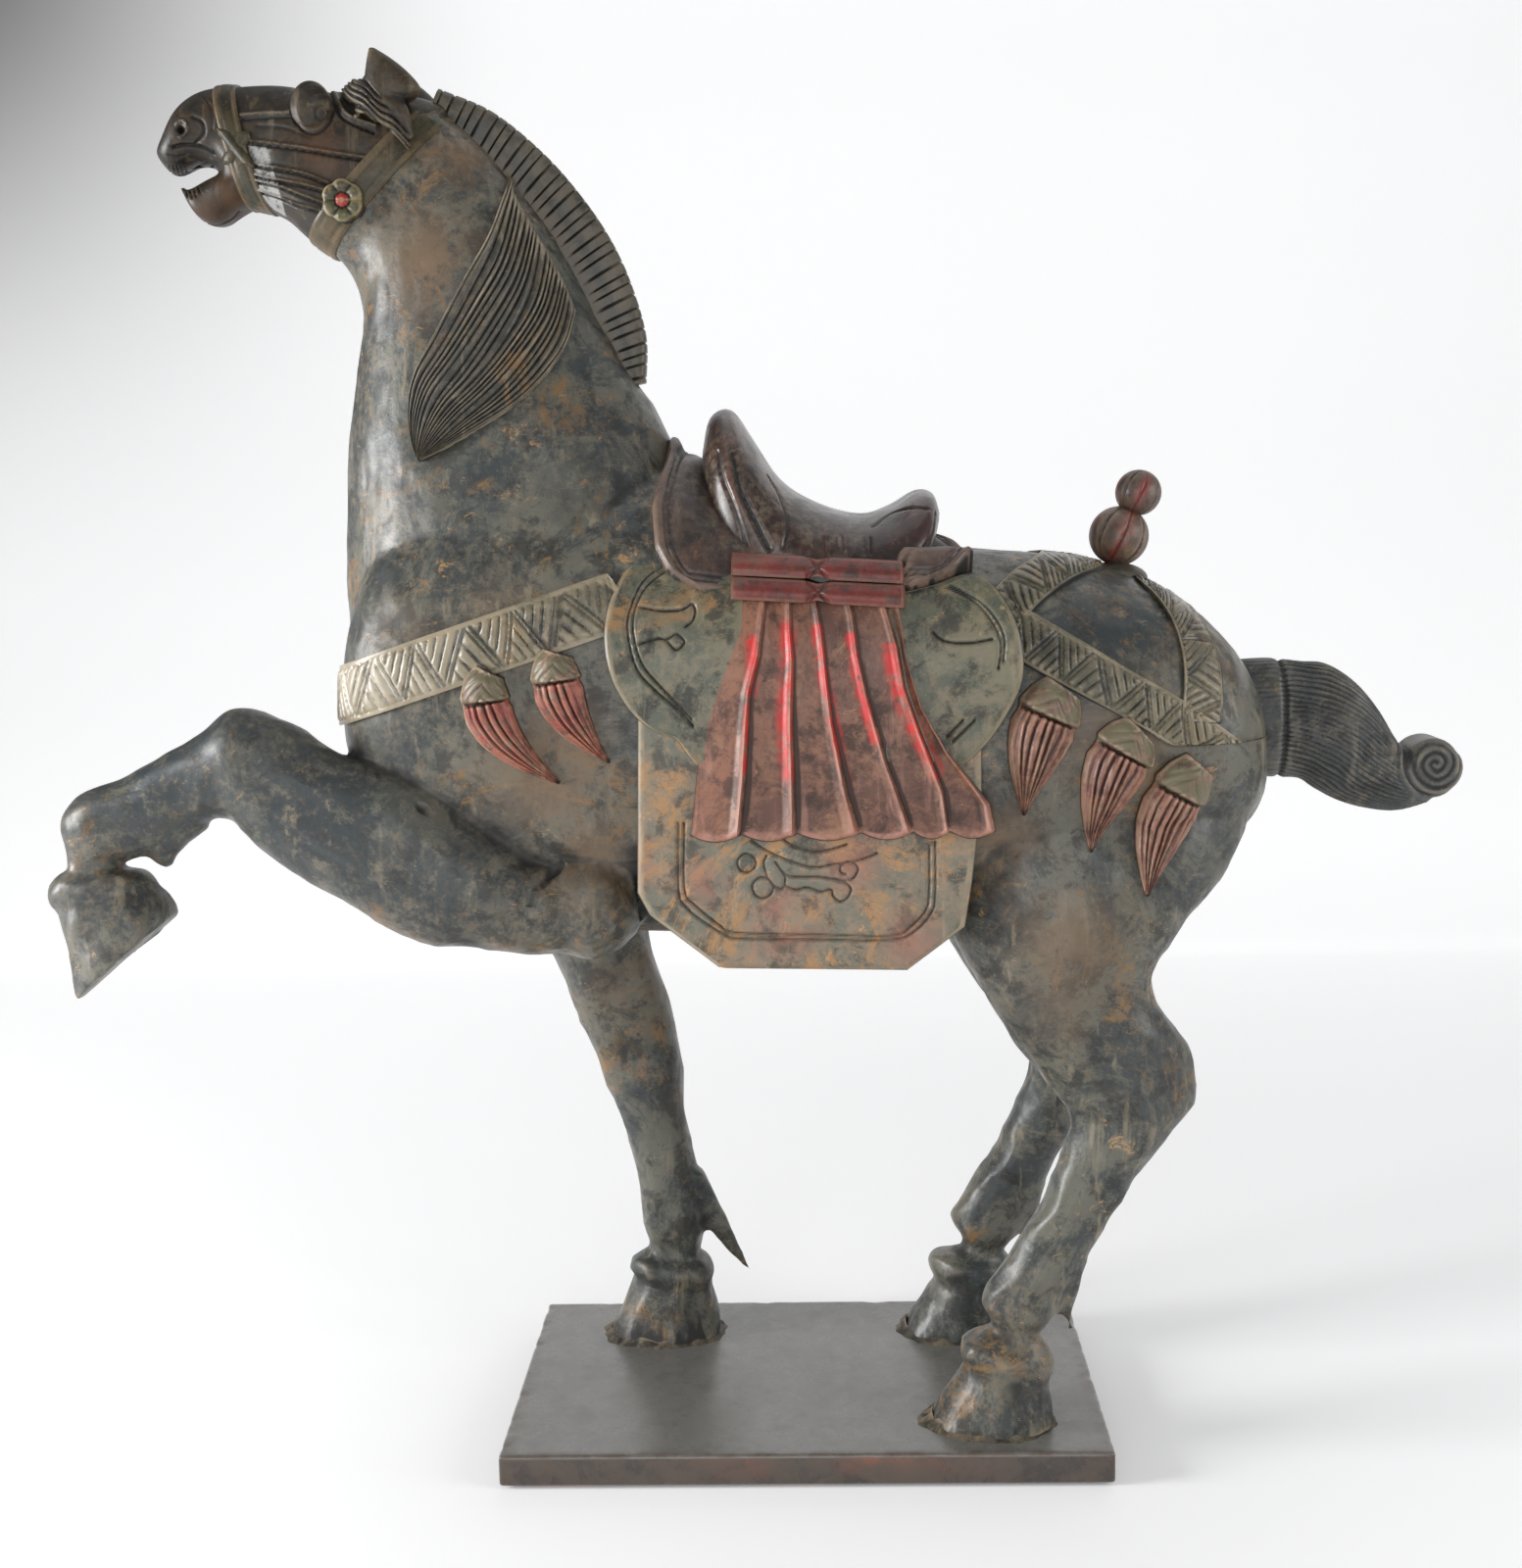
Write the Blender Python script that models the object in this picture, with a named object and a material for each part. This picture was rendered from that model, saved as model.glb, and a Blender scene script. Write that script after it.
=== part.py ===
"""Carved wooden horse in Tang style, saddled, one foreleg raised, on a plank base.

The horse faces -X and stands along X, with +Z up. The origin is the centre of the base's underside.
Forms are lofts: rows of closed rings, each ring given by the two outline points that it joins in the
side view, its middle in Y and its half width. Numbers in those rows are thousandths of HORSE_HEIGHT.
"""

import math

import bmesh
import bpy
import numpy as np
from mathutils import Vector
from mathutils.bvhtree import BVHTree

# Driving sizes, in metres
HORSE_HEIGHT = 1.185
BASE_LENGTH = 0.520
BASE_WIDTH = 0.330
BASE_THICKNESS = 0.027
BASE_EDGE_BEVEL = 0.002
PIECE_GAP = 0.0003
TAIL_CLEARANCE = 0.0004
BLOCK_VOXEL = 0.0055
CARVING_VOXEL = 0.0036
HORSE_TRIANGLES = 8300
TAIL_TRIANGLES = 800
LOWER_BALL_RADIUS = 0.0256
UPPER_BALL_RADIUS = 0.0197
FINIAL_PEG_RADIUS = 0.0080
BALL_GROOVE_DEPTH = 0.0012
BALL_CLEARANCE = 0.0015
TASSEL_PROUD = 0.015
STRAP_PROUD = 0.007
BRIDLE_PROUD = 0.0042
BLANKET_PROUD = 0.012
HAIR_PROUD = 0.009
CLOTH_FOLD_DEPTH = 0.0095

SHARP_EDGE_DEG = 35
RELIEF_ROOT = 0.008
SPECK_HEIGHT = 0.0015

SOLE_LEVEL = BASE_THICKNESS + PIECE_GAP
SHARE = HORSE_HEIGHT / 1000.0
NEAR, FAR = -1.0, 1.0
RAY_REACH = HORSE_HEIGHT * 0.5

# Powers of the ring curve: 2 is an ellipse, more is boxier
TRUNK_RING, NECK_RING, HEAD_RING, MUZZLE_RING = 2.35, 2.15, 2.5, 2.3
LIMB_RING, EAR_RING, SADDLE_RING, TAIL_RING = 2.2, 2.0, 2.6, 2.2
RING_POINTS = 24
ROWS_BETWEEN = 3

# Rows are front x, front z, back x, back z, middle y, half width
TRUNK = (
    (-328, 500, -324, 566, 0, 46),
    (-321, 468, -315, 612, 0, 79),
    (-301, 432, -293, 654, 0, 102),
    (-262, 402, -250, 684, 0, 116),
    (-203, 374, -191, 694, 0, 124),
    (-144, 358, -134, 699, 0, 126),
    (-85, 352, -76, 698, 0, 125),
    (-50, 352, -44, 680, 0, 125),
    (-11, 352, -5, 661, 0, 124),
    (63, 355, 66, 641, 0, 124),
    (137, 364, 138, 634, 0, 126),
    (195, 378, 195, 628, 0, 127),
    (239, 390, 238, 616, 0, 124),
    (283, 404, 281, 595, 0, 114),
    (313, 416, 312, 569, 0, 98),
    (333, 434, 332, 537, 0, 72),
    (342, 458, 341, 506, 0, 38),
)
NECK = (
    (-322, 848, -250, 958, 0, 38),
    (-311, 829, -221, 933, 0, 44),
    (-309, 803, -190, 896, 0, 50),
    (-315, 762, -160, 855, 0, 57),
    (-322, 721, -138, 808, 0, 66),
    (-326, 671, -113, 765, 0, 77),
    (-328, 621, -87, 720, 0, 90),
    (-327, 577, -74, 668, 0, 102),
    (-324, 535, -84, 590, 0, 108),
)
HEAD = (
    (-300, 826, -240, 955, 0, 36),
    (-310, 838, -258, 961, 0, 40),
    (-325, 850, -282, 966, 0, 43),
    (-344, 864, -310, 966, 0, 44),
    (-359, 878, -335, 968, 0, 42),
    (-377, 886, -361, 972, 0, 36),
    (-391, 889, -386, 972, 0, 32),
    (-399, 900, -400, 971, 0, 30),
)
MUZZLE = (
    (-392, 900, -388, 972, 0, 31),
    (-409, 915, -403, 972, 0, 30),
    (-422, 918, -417, 969, 0, 30),
    (-432, 914, -429, 962, 0, 29),
    (-440, 911, -437, 953, 0, 26),
    (-447, 919, -444, 938, 0, 21),
    (-451, 925, -450, 930, 0, 12),
)
JAW = (
    (-385, 888, -398, 914, 0, 29),
    (-396, 882, -413, 909, 0, 26),
    (-407, 875, -422, 905, 0, 23),
    (-420, 878, -430, 901, 0, 21),
    (-427, 888, -434, 903, 0, 17),
    (-431, 896, -438, 905, 0, 10),
)
RAISED_FORELEG = (
    (-119, 425, -148, 350, -66, 44),
    (-173, 424, -187, 353, -78, 46),
    (-203, 439, -224, 359, -86, 46),
    (-236, 465, -269, 365, -92, 43),
    (-272, 487, -314, 392, -94, 39),
    (-317, 501, -354, 416, -93, 35),
    (-354, 525, -381, 436, -93, 32),
    (-390, 536, -395, 453, -93, 29),
    (-415, 520, -407, 456, -91, 26),
    (-445, 503, -428, 448, -89, 24),
    (-477, 487, -450, 434, -88, 23),
    (-510, 474, -475, 426, -86, 23),
    (-523, 456, -479, 425, -85, 21),
    (-521, 436, -480, 421, -84, 18),
    (-521, 424, -477, 416, -84, 18),
)
RAISED_RING = (
    (-525, 420, -476, 420, -84, 18),
    (-534, 413, -468, 420, -84, 23),
    (-538, 403, -460, 414, -84, 26),
    (-534, 393, -458, 409, -84, 25),
    (-525, 390, -462, 405, -84, 20),
)
RAISED_HOOF = (
    (-526, 396, -464, 409, -84, 22),
    (-529, 386, -456, 406, -84, 28),
    (-524, 357, -448, 398, -84, 32),
    (-519, 324, -444, 386, -84, 36),
)
RAISED_SPUR = (
    (-460, 450, -415, 450, -87, 16),
    (-462, 435, -432, 437, -87, 13),
    (-458, 426, -440, 429, -87, 9),
    (-450, 420, -444, 421, -87, 4),
)
STANDING_FORELEG = (
    (-223, 400, -118, 395, 66, 45),
    (-211, 350, -118, 350, 74, 44),
    (-198, 314, -115, 315, 80, 41),
    (-187, 280, -107, 284, 83, 37),
    (-173, 248, -101, 257, 84, 34),
    (-159, 209, -95, 218, 84, 31),
    (-145, 171, -93, 180, 84, 28),
    (-137, 136, -87, 143, 84, 25),
    (-135, 109, -83, 114, 84, 24),
    (-134, 88, -81, 90, 84, 25),
    (-128, 76, -84, 71, 84, 20),
    (-131, 66, -84, 60, 84, 20),
)
STANDING_RING = (
    (-133, 69, -84, 64, 84, 20),
    (-142, 64, -77, 60, 84, 27),
    (-145, 57, -73, 50, 84, 30),
    (-141, 49, -75, 42, 84, 29),
    (-136, 45, -81, 36, 84, 24),
)
STANDING_HOOF = (
    (-137, 56, -82, 52, 84, 24),
    (-141, 46, -76, 40, 84, 29),
    (-152, 22, -71, 17, 84, 34),
    (-164, -6, -68, -6, 84, 40),
)
STANDING_SPUR = (
    (-100, 135, -80, 135, 84, 16),
    (-92, 112, -71, 112, 84, 13),
    (-85, 94, -61, 90, 84, 10),
    (-74, 78, -53, 72, 84, 7),
    (-53, 54, -43, 47, 84, 3),
)
ELBOW = (-149, 392, -76, 42, 44, 46)
HIND_LEG = (
    (74, 472, 329, 472, 50, 58),
    (84, 438, 323, 438, 56, 62),
    (97, 400, 303, 400, 66, 61),
    (110, 362, 270, 361, 76, 56),
    (126, 331, 252, 335, 81, 51),
    (139, 307, 255, 315, 84, 45),
    (158, 277, 268, 295, 84, 39),
    (179, 250, 281, 277, 84, 34),
    (191, 230, 284, 243, 84, 30),
    (191, 218, 277, 230, 84, 29),
    (185, 197, 260, 208, 84, 27),
    (173, 169, 237, 176, 84, 25),
    (158, 143, 218, 145, 84, 24),
    (143, 119, 206, 121, 84, 24),
    (130, 98, 194, 95, 84, 24),
    (130, 87, 186, 81, 84, 24),
    (136, 75, 175, 69, 84, 19),
    (132, 66, 175, 60, 84, 19),
)
HIND_RING = (
    (127, 69, 177, 62, 84, 20),
    (114, 64, 181, 54, 84, 27),
    (111, 56, 183, 45, 84, 30),
    (114, 47, 181, 36, 84, 29),
    (120, 43, 176, 33, 84, 24),
)
HIND_HOOF = (
    (119, 56, 177, 46, 84, 24),
    (116, 44, 178, 34, 84, 29),
    (101, 20, 181, 14, 84, 33),
    (86, -6, 183, -6, 84, 38),
)
HIND_SPUR = (
    (190, 125, 208, 124, 84, 16),
    (188, 108, 203, 107, 84, 13),
    (184, 88, 199, 86, 84, 10),
    (188, 76, 197, 72, 84, 6),
    (193, 66, 196, 62, 84, 3),
)
FAR_HIND_SHIFT = -12
EYE = (-331, 951, 36, 13, 17, 10)
EAR = (
    (-303, 940, -262, 958, 34, 14),
    (-298, 952, -262, 964, 38, 12),
    (-292, 966, -266, 973, 41, 9),
    (-289, 980, -275, 981, 42, 6),
    (-287, 988, -283, 988, 42, 3),
)
EAR_LOBE = (
    (-304, 962, -286, 972, 34, 9),
    (-292, 948, -272, 962, 40, 10),
    (-275, 936, -262, 948, 41, 8),
    (-263, 924, -258, 928, 40, 3),
)
FORELOCK = (
    (-312, 960, -308, 966, 24, 8),
    (-305, 954, -296, 970, 32, 13),
    (-290, 942, -278, 958, 40, 11),
    (-272, 929, -266, 938, 42, 7),
    (-262, 918, -260, 922, 42, 2),
)
CREST_ROOT = (
    (-258, 938),
    (-225, 922),
    (-200, 896),
    (-172, 862),
    (-150, 826),
    (-134, 790),
    (-122, 768),
    (-116, 756),
)
CREST_EDGE = (
    (-246, 967),
    (-208, 950),
    (-172, 920),
    (-144, 887),
    (-124, 855),
    (-111, 823),
    (-103, 790),
    (-104, 758),
)
CREST_HALF_WIDTH = 10
CREST_TAPER = ((0.0, 1.0), (0.6, 1.0), (1.0, 0.75))
SADDLE = (
    (-52, 600, -63, 708, 0, 66),
    (-44, 570, -57, 732, 0, 84),
    (-34, 560, -42, 737, 0, 94),
    (-24, 555, -27, 716, 0, 98),
    (-8, 555, -7, 686, 0, 101),
    (20, 555, 20, 669, 0, 104),
    (50, 555, 50, 661, 0, 105),
    (72, 555, 72, 667, 0, 104),
    (84, 560, 90, 677, 0, 98),
    (90, 580, 102, 675, 0, 86),
    (92, 610, 107, 662, 0, 64),
)
SIDE_BOARD = (
    (-104, 575),
    (-109, 406),
    (-101, 390),
    (-53, 352),
    (76, 349),
    (116, 379),
    (121, 410),
    (128, 470),
    (128, 575),
)
FRONT_LOBE = (
    (-30, 648),
    (-76, 645),
    (-103, 628),
    (-118, 606),
    (-125, 582),
    (-122, 556),
    (-109, 532),
    (-93, 518),
    (-80, 513),
    (-62, 492),
    (-30, 492),
)
REAR_LOBE = (
    (60, 625),
    (105, 622),
    (130, 610),
    (148, 592),
    (156, 567),
    (154, 544),
    (140, 518),
    (125, 500),
    (110, 492),
    (60, 492),
)
TACK_DEPTH = 132
TACK_TURN = 520
TACK_TOP = 672
TACK_RING = 2.4
TACK_LEVEL_STEP = 12
BOARD_THICKNESS = 34
LOBE_THICKNESS = 24
LOBE_PROUD = 5
BLANKET_FRONT = ((0.0, -84), (0.3, -89), (0.6, -95), (0.8, -92), (0.92, -82), (1.0, -60))
BLANKET_REAR = ((0.0, 98), (0.35, 118), (0.6, 127), (0.8, 125), (0.92, 112), (1.0, 84))
BLANKET_TURN = 45
CLOTH_LEFT = ((-39, 610), (-47, 575), (-58, 530), (-66, 490), (-70, 448))
CLOTH_RIGHT = ((76, 603), (84, 560), (99, 520), (117, 486), (140, 443))
CLOTH_FOLDS = 6
CLOTH_PROUD = 0.006
CLOTH_ROOT = 10
HEM_START = 0.35
FOLD_FACES = 6
FOLD_ROUNDNESS = 0.7
BAND_ROWS = ((637, 622), (621, 606))
BAND_ENDS = (-41, 78)
BAND_DROOP = 8
BAND_PROUD = 10
BAND_ROLL = 4
BAND_ROOT = 20
HAIR_FRONT = (
    (-197, 908),
    (-199, 890),
    (-208, 860),
    (-226, 828),
    (-247, 791),
    (-261, 767),
    (-266, 744),
    (-264, 720),
    (-258, 703),
)
HAIR_TOP = (
    (-197, 908),
    (-192, 889),
    (-176, 862),
    (-159, 829),
    (-150, 807),
)
HAIR_BACK = (
    (-150, 807),
    (-158, 776),
    (-184, 744),
    (-222, 720),
    (-258, 703),
)
HAIR_LOCKS = 6
HAIR_RIM = 8
HAIR_GROOVE = 0.45
LOCK_FACES = 6
HAIR_STATIONS = 20
FRONT_TASSELS = (
    ((-206, 560), (-204, 522), (-161, 482), 17),
    ((-159, 572), (-156, 536), (-126, 496), 17),
)
REAR_TASSELS = (
    ((184, 542), (166, 505), (157, 455), 22),
    ((236, 512), (216, 480), (203, 428), 22),
    ((278, 487), (254, 448), (241, 397), 21),
)
TASSEL_SHAPE = (
    (0.0, 0.45),
    (0.12, 0.72),
    (0.25, 0.92),
    (0.28, 0.84),
    (0.4, 1.0),
    (0.55, 0.92),
    (0.72, 0.66),
    (0.88, 0.32),
    (1.0, 0.05),
)
TASSEL_FLUTES = 4
TASSEL_NECK = 0.28
TASSEL_TIP = 0.3
FLUTE_DEPTH = 0.14
STRAP_SHARES = (-1.0, -0.5, 0.5, 1.0)
STRAP_STEPS = 10
TASSEL_STATIONS = 20
FLUTE_FACES = 4
AXIS_LEVEL = 500
FLANK_EDGE = 60
CHEST_STRAP = (-230, 570, 17.9, 19, 133)
CHEST_REACH = (107, 150, 600)
HEAD_REACH = (95, 95, 95)
NOSEBAND = (-388, 931, 84, 8)
THROAT_STRAP = (-296, 896, 57, 10)
FULL_TURN = 360
BREECHING = (
    (118, 598, 16),
    (150, 581, 16),
    (186, 560, 16),
    (222, 539, 15),
    (258, 518, 15),
    (294, 494, 14),
    (323, 477, 13),
    (338, 468, 11),
)
CROUP_STRAPS = (
    ((148, 590, 13), (168, 609, 14), (190, 621, 15), (210, 625, 14)),
    ((279, 528, 14), (281, 560, 14), (275, 583, 13), (266, 605, 12)),
)
ROSETTE = (-309, 885, 46, 15, 6)
CARVED_ZONES = (
    (-100, 430, 160, 745, 0.5),
    (-280, 700, -140, 915, 0.7),
    (-215, 480, -115, 580, 0.9),
    (145, 390, 290, 550, 0.9),
    (-460, 860, -240, 1000, 0.9),
)
SPARING = 0.00004
# A paint is a colour and a roughness
BASE_PAINT = ((0.045, 0.042, 0.038, 1.0), 0.45)
HORSE_PAINT = ((0.075, 0.085, 0.080, 1.0), 0.55)
TAIL_PAINT = ((0.050, 0.060, 0.060, 1.0), 0.60)
FINIAL_PAINT = ((0.110, 0.035, 0.030, 1.0), 0.35)
TAIL = (
    (322, 465, 322, 549, 0, 28),
    (345, 462, 345, 550, 0, 29),
    (358, 461, 358, 549, 0, 29),
    (372, 460, 373, 547, 0, 30),
    (384, 452, 391, 545, 0, 31),
    (401, 443, 411, 532, 0, 31),
    (421, 437, 428, 512, 0, 29),
    (444, 435, 441, 490, 0, 26),
    (467, 441, 452, 479, 0, 24),
)
TAIL_CURL = (466, 468, 22, 24)
CURL_PROFILE = ((-1.0, 0.8), (-0.7, 1.0), (0.0, 1.0), (0.7, 1.0), (1.0, 0.8))
LOWER_BALL = (239, 641)
UPPER_BALL = (253, 672)
BALL_SEGMENTS = 8
PEG_SIDES = 12
FOOT_MARGIN = 1.5


def at(x, z, y=0.0):
    """A point of the horse, from thousandths of its height."""
    return Vector((x * SHARE, y * SHARE, SOLE_LEVEL + z * SHARE))


def clear_scene():
    """Removes what the scene already holds."""
    for obj in list(bpy.data.objects):
        bpy.data.objects.remove(obj)


def smooth_rows(rows, steps=ROWS_BETWEEN):
    """Adds rows between the given ones, on a curve through them all."""
    rows = np.array(rows, float)
    slopes = np.gradient(rows, axis=0)
    finer = []
    for i in range(len(rows) - 1):
        for k in range(steps):
            t = k / steps
            h = (2 * t**3 - 3 * t**2 + 1, t**3 - 2 * t**2 + t, 3 * t**2 - 2 * t**3, t**3 - t**2)
            finer.append(h[0] * rows[i] + h[1] * slopes[i] + h[2] * rows[i + 1] + h[3] * slopes[i + 1])
    finer.append(rows[-1])
    return finer


def ring_point(angle, power):
    """Unit ring point at an angle, on a curve of that power."""
    c, s = math.cos(angle), math.sin(angle)
    return (
        math.copysign(abs(c) ** (2 / power), c),
        math.copysign(abs(s) ** (2 / power), s),
    )


def turns(count):
    """Angles evenly round a circle."""
    return [2 * math.pi * k / count for k in range(count)]


def skin_rows(bm, rows, closed=True):
    """Faces between neighbouring rows of vertices."""
    count = len(rows[0])
    for lower, upper in zip(rows, rows[1:]):
        for k in range(count if closed else count - 1):
            n = (k + 1) % count
            bm.faces.new((lower[k], lower[n], upper[n], upper[k]))


def skin_tube(bm, rings):
    """A closed form from rings of points, with flat ends."""
    rings = [[bm.verts.new(p) for p in ring] for ring in rings]
    skin_rows(bm, rings)
    bm.faces.new(rings[0])
    bm.faces.new(rings[-1])


def skin_ball(bm, top, rings, low):
    """A closed form from rings of points, pointed at both ends."""
    top, low = bm.verts.new(top), bm.verts.new(low)
    rings = [[bm.verts.new(p) for p in ring] for ring in rings]
    skin_rows(bm, rings)
    for k in range(len(rings[0])):
        n = (k + 1) % len(rings[0])
        bm.faces.new((top, rings[0][k], rings[0][n]))
        bm.faces.new((low, rings[-1][n], rings[-1][k]))


def skin_slab(bm, outer, inner):
    """A closed slab from two grids of points that match."""
    top, low = ([[bm.verts.new(p) for p in row] for row in grid] for grid in (outer, inner))
    skin_rows(bm, top, closed=False)
    skin_rows(bm, low, closed=False)
    rims = [
        (top[0], low[0]),
        (top[-1], low[-1]),
        ([row[0] for row in top], [row[0] for row in low]),
        ([row[-1] for row in top], [row[-1] for row in low]),
    ]
    for edge, other in rims:
        for k in range(len(edge) - 1):
            bm.faces.new((edge[k], edge[k + 1], other[k + 1], other[k]))


def loft(bm, rows, power=LIMB_RING, points=RING_POINTS, shift=0.0, side=1.0):
    """A form through rows of outline pairs, moved by shift in x and mirrored by side in y."""
    rings = []
    for ax, az, bx, bz, y, half_width in smooth_rows(rows):
        ring = []
        for angle in turns(points):
            across, out = ring_point(angle, power)
            x = (ax + bx) / 2 + (bx - ax) / 2 * across + shift
            z = (az + bz) / 2 + (bz - az) / 2 * across
            ring.append(at(x, z, side * y + half_width * out))
        rings.append(ring)
    skin_tube(bm, rings)


def ellipsoid(bm, x, z, y, radii, around=16, rings=8):
    """An ellipsoid, with its middle and its radii in x, z and y in thousandths."""
    rx, rz, ry = radii
    rows = []
    for i in range(1, rings):
        level, flat = math.cos(math.pi * i / rings), math.sin(math.pi * i / rings)
        spots = [(flat * math.cos(a), flat * math.sin(a)) for a in turns(around)]
        rows.append([at(x + rx * along_x, z + rz * level, y + ry * along_y) for along_x, along_y in spots])
    skin_ball(bm, at(x, z + rz, y), rows, at(x, z - rz, y))


def along(points, t):
    """The point at share t of a polyline's length, as x and z."""
    line = np.array(points, float)
    steps = np.hypot(*np.diff(line, axis=0).T)
    reach = np.concatenate([[0.0], np.cumsum(steps)]) / steps.sum()
    return np.array([np.interp(t, reach, line[:, 0]), np.interp(t, reach, line[:, 1])])


def tack_depth(z):
    """How far the saddlery stands from the middle plane at height z: flat below, turning in above."""
    if z <= TACK_TURN:
        return TACK_DEPTH
    rise = min((z - TACK_TURN) / (TACK_TOP - TACK_TURN), 1.0)
    return TACK_DEPTH * (1 - rise**TACK_RING) ** (1 / TACK_RING)


def tack_panel(bm, outline, side, proud, thickness):
    """A slab of the outline's shape in the side view, bent over the flank."""
    piece = bmesh.new()
    face = piece.faces.new([piece.verts.new((x, 0.0, z)) for x, z in outline])
    extruded = bmesh.ops.extrude_face_region(piece, geom=[face])
    back = [v for v in extruded["geom"] if isinstance(v, bmesh.types.BMVert)]
    bmesh.ops.translate(piece, verts=back, vec=(0.0, 1.0, 0.0))
    levels = [z for _, z in outline]
    for level in np.arange(min(levels) + TACK_LEVEL_STEP, max(levels), TACK_LEVEL_STEP):
        everything = piece.verts[:] + piece.edges[:] + piece.faces[:]
        bmesh.ops.bisect_plane(piece, geom=everything, plane_co=(0, 0, level), plane_no=(0, 0, 1))
    bent = {}
    for v in piece.verts:
        depth = tack_depth(v.co.z) + proud - thickness * (1 - v.co.y)
        bent[v] = bm.verts.new(at(v.co.x, v.co.z, side * depth))
    for f in piece.faces:
        bm.faces.new([bent[v] for v in f.verts])
    piece.free()


class Skin:
    """The outside of a finished form, to lay carving on."""

    def __init__(self, mesh):
        points = [v.co for v in mesh.vertices]
        self.tree = BVHTree.FromPolygons(points, [list(p.vertices) for p in mesh.polygons])

    def hit(self, origin, direction):
        """Where a ray first meets the skin, or None."""
        return self.tree.ray_cast(origin, direction)[0]

    def from_side(self, x, z, side, proud):
        """The point that stands proud metres over the skin at x and z, seen from the side."""
        point = at(x, z, side * FLANK_EDGE)
        found = self.hit(at(x, z) + Vector((0, side * RAY_REACH, 0)), Vector((0, -side, 0)))
        return (found or point) + Vector((0, side * proud, 0))

    def from_axis(self, x, angle):
        """The skin met from outside by a ray to the trunk's long axis, and the ray's way out."""
        away = Vector((0.0, math.cos(angle), math.sin(angle)))
        axis = at(x, AXIS_LEVEL)
        return self.hit(axis + away * RAY_REACH, -away) or axis, away

    def at_level(self, x, z, side, halvings=18):
        """The skin on the upper flank at x and z, found by turning a ray about the long axis."""
        low, high = 0.0, math.pi / 2
        for _ in range(halvings):
            tilt = (low + high) / 2
            found, away = self.from_axis(x, tilt if side > 0 else math.pi - tilt)
            if found.z < at(x, z).z:
                low = tilt
            else:
                high = tilt
        return found, away


def side_patch(bm, skin, place, side, proud, columns, rows):
    """A slab on the flank: place(u, v) gives x and z, proud(u, v) its height over the skin."""
    outer, inner = [], []
    for v in np.linspace(0, 1, rows + 1):
        spots = [(u, *place(u, v)) for u in np.linspace(0, 1, columns + 1)]
        outer.append([skin.from_side(x, z, side, proud(u, v)) for u, x, z in spots])
        inner.append([skin.from_side(x, z, side, -RELIEF_ROOT) for _, x, z in spots])
    skin_slab(bm, outer, inner)


def rump_strap(bm, skin, line, side):
    """A strap over the rump, on rows of x, level z and half width."""
    rows = smooth_rows(line, STRAP_STEPS)
    outer, inner = [], []
    for i, (x, z, half) in enumerate(rows):
        before, after = rows[max(i - 1, 0)], rows[min(i + 1, len(rows) - 1)]
        run = Vector((after[0] - before[0], after[1] - before[1])).normalized()
        spots = [skin.at_level(x - run.y * half * w, z + run.x * half * w, side) for w in STRAP_SHARES]
        outer.append([found + away * STRAP_PROUD for found, away in spots])
        inner.append([found - away * RELIEF_ROOT for found, away in spots])
    skin_slab(bm, outer, inner)


def belt(bm, skin, centre, slope_deg, half_width, turn, reach, proud, steps=60):
    """A strap in a sloping plane round a form, from -turn to turn degrees about its front.

    Rays start on an ellipse about the centre, whose reach is given to the front, side and back, so
    that they begin inside whatever stands further off.
    """
    slope = math.radians(slope_deg)
    run = Vector((math.cos(slope), 0.0, math.sin(slope)))
    across = Vector((-math.sin(slope), 0.0, math.cos(slope)))
    outer, inner = [], []
    for angle in np.radians(np.linspace(-turn, turn, steps + 1)):
        away = -run * math.cos(angle) + Vector((0.0, math.sin(angle), 0.0))
        run_reach = reach[0] if math.cos(angle) > 0 else reach[2]
        start_at = SHARE / math.hypot(math.cos(angle) / run_reach, math.sin(angle) / reach[1])
        found = []
        for share in STRAP_SHARES:
            start = centre + across * (half_width * SHARE * share) + away * start_at
            found.append(skin.hit(start, -away) or start)
        outer.append([p + away * proud for p in found])
        inner.append([p - away * RELIEF_ROOT for p in found])
    skin_slab(bm, outer, inner)


def mesh_object(name, bm, paint):
    """Turns a bmesh into a named object with its own paint."""
    bmesh.ops.recalc_face_normals(bm, faces=bm.faces)
    mesh = bpy.data.meshes.new(name)
    bm.to_mesh(mesh)
    bm.free()
    obj = bpy.data.objects.new(name, mesh)
    bpy.context.collection.objects.link(obj)
    coat = bpy.data.materials.new(name + "_paint")
    coat.use_nodes = True
    shader = coat.node_tree.nodes["Principled BSDF"]
    shader.inputs["Base Color"].default_value, shader.inputs["Roughness"].default_value = paint
    shader.inputs["Metallic"].default_value = 0.0
    mesh.materials.append(coat)
    return obj


def bake(obj):
    """Replaces the object's mesh by what its modifiers make."""
    bpy.context.view_layer.update()
    evaluated = obj.evaluated_get(bpy.context.evaluated_depsgraph_get())
    made = bpy.data.meshes.new_from_object(evaluated)
    obj.modifiers.clear()
    obj.data = made
    return made


def keep_largest(mesh):
    """Drops specks of skin that a join leaves inside the form."""
    bm = bmesh.new()
    bm.from_mesh(mesh)
    loose = set(bm.verts)
    islands = []
    while loose:
        island = []
        reached = [loose.pop()]
        while reached:
            v = reached.pop()
            island.append(v)
            fresh = [o for o in (e.other_vert(v) for e in v.link_edges) if o in loose]
            loose.difference_update(fresh)
            reached.extend(fresh)
        islands.append(island)
    islands.sort(key=len)
    specks = [v for island in islands[:-1] for v in island]
    bmesh.ops.delete(bm, geom=specks, context="VERTS")
    bm.to_mesh(mesh)
    bm.free()


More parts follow.
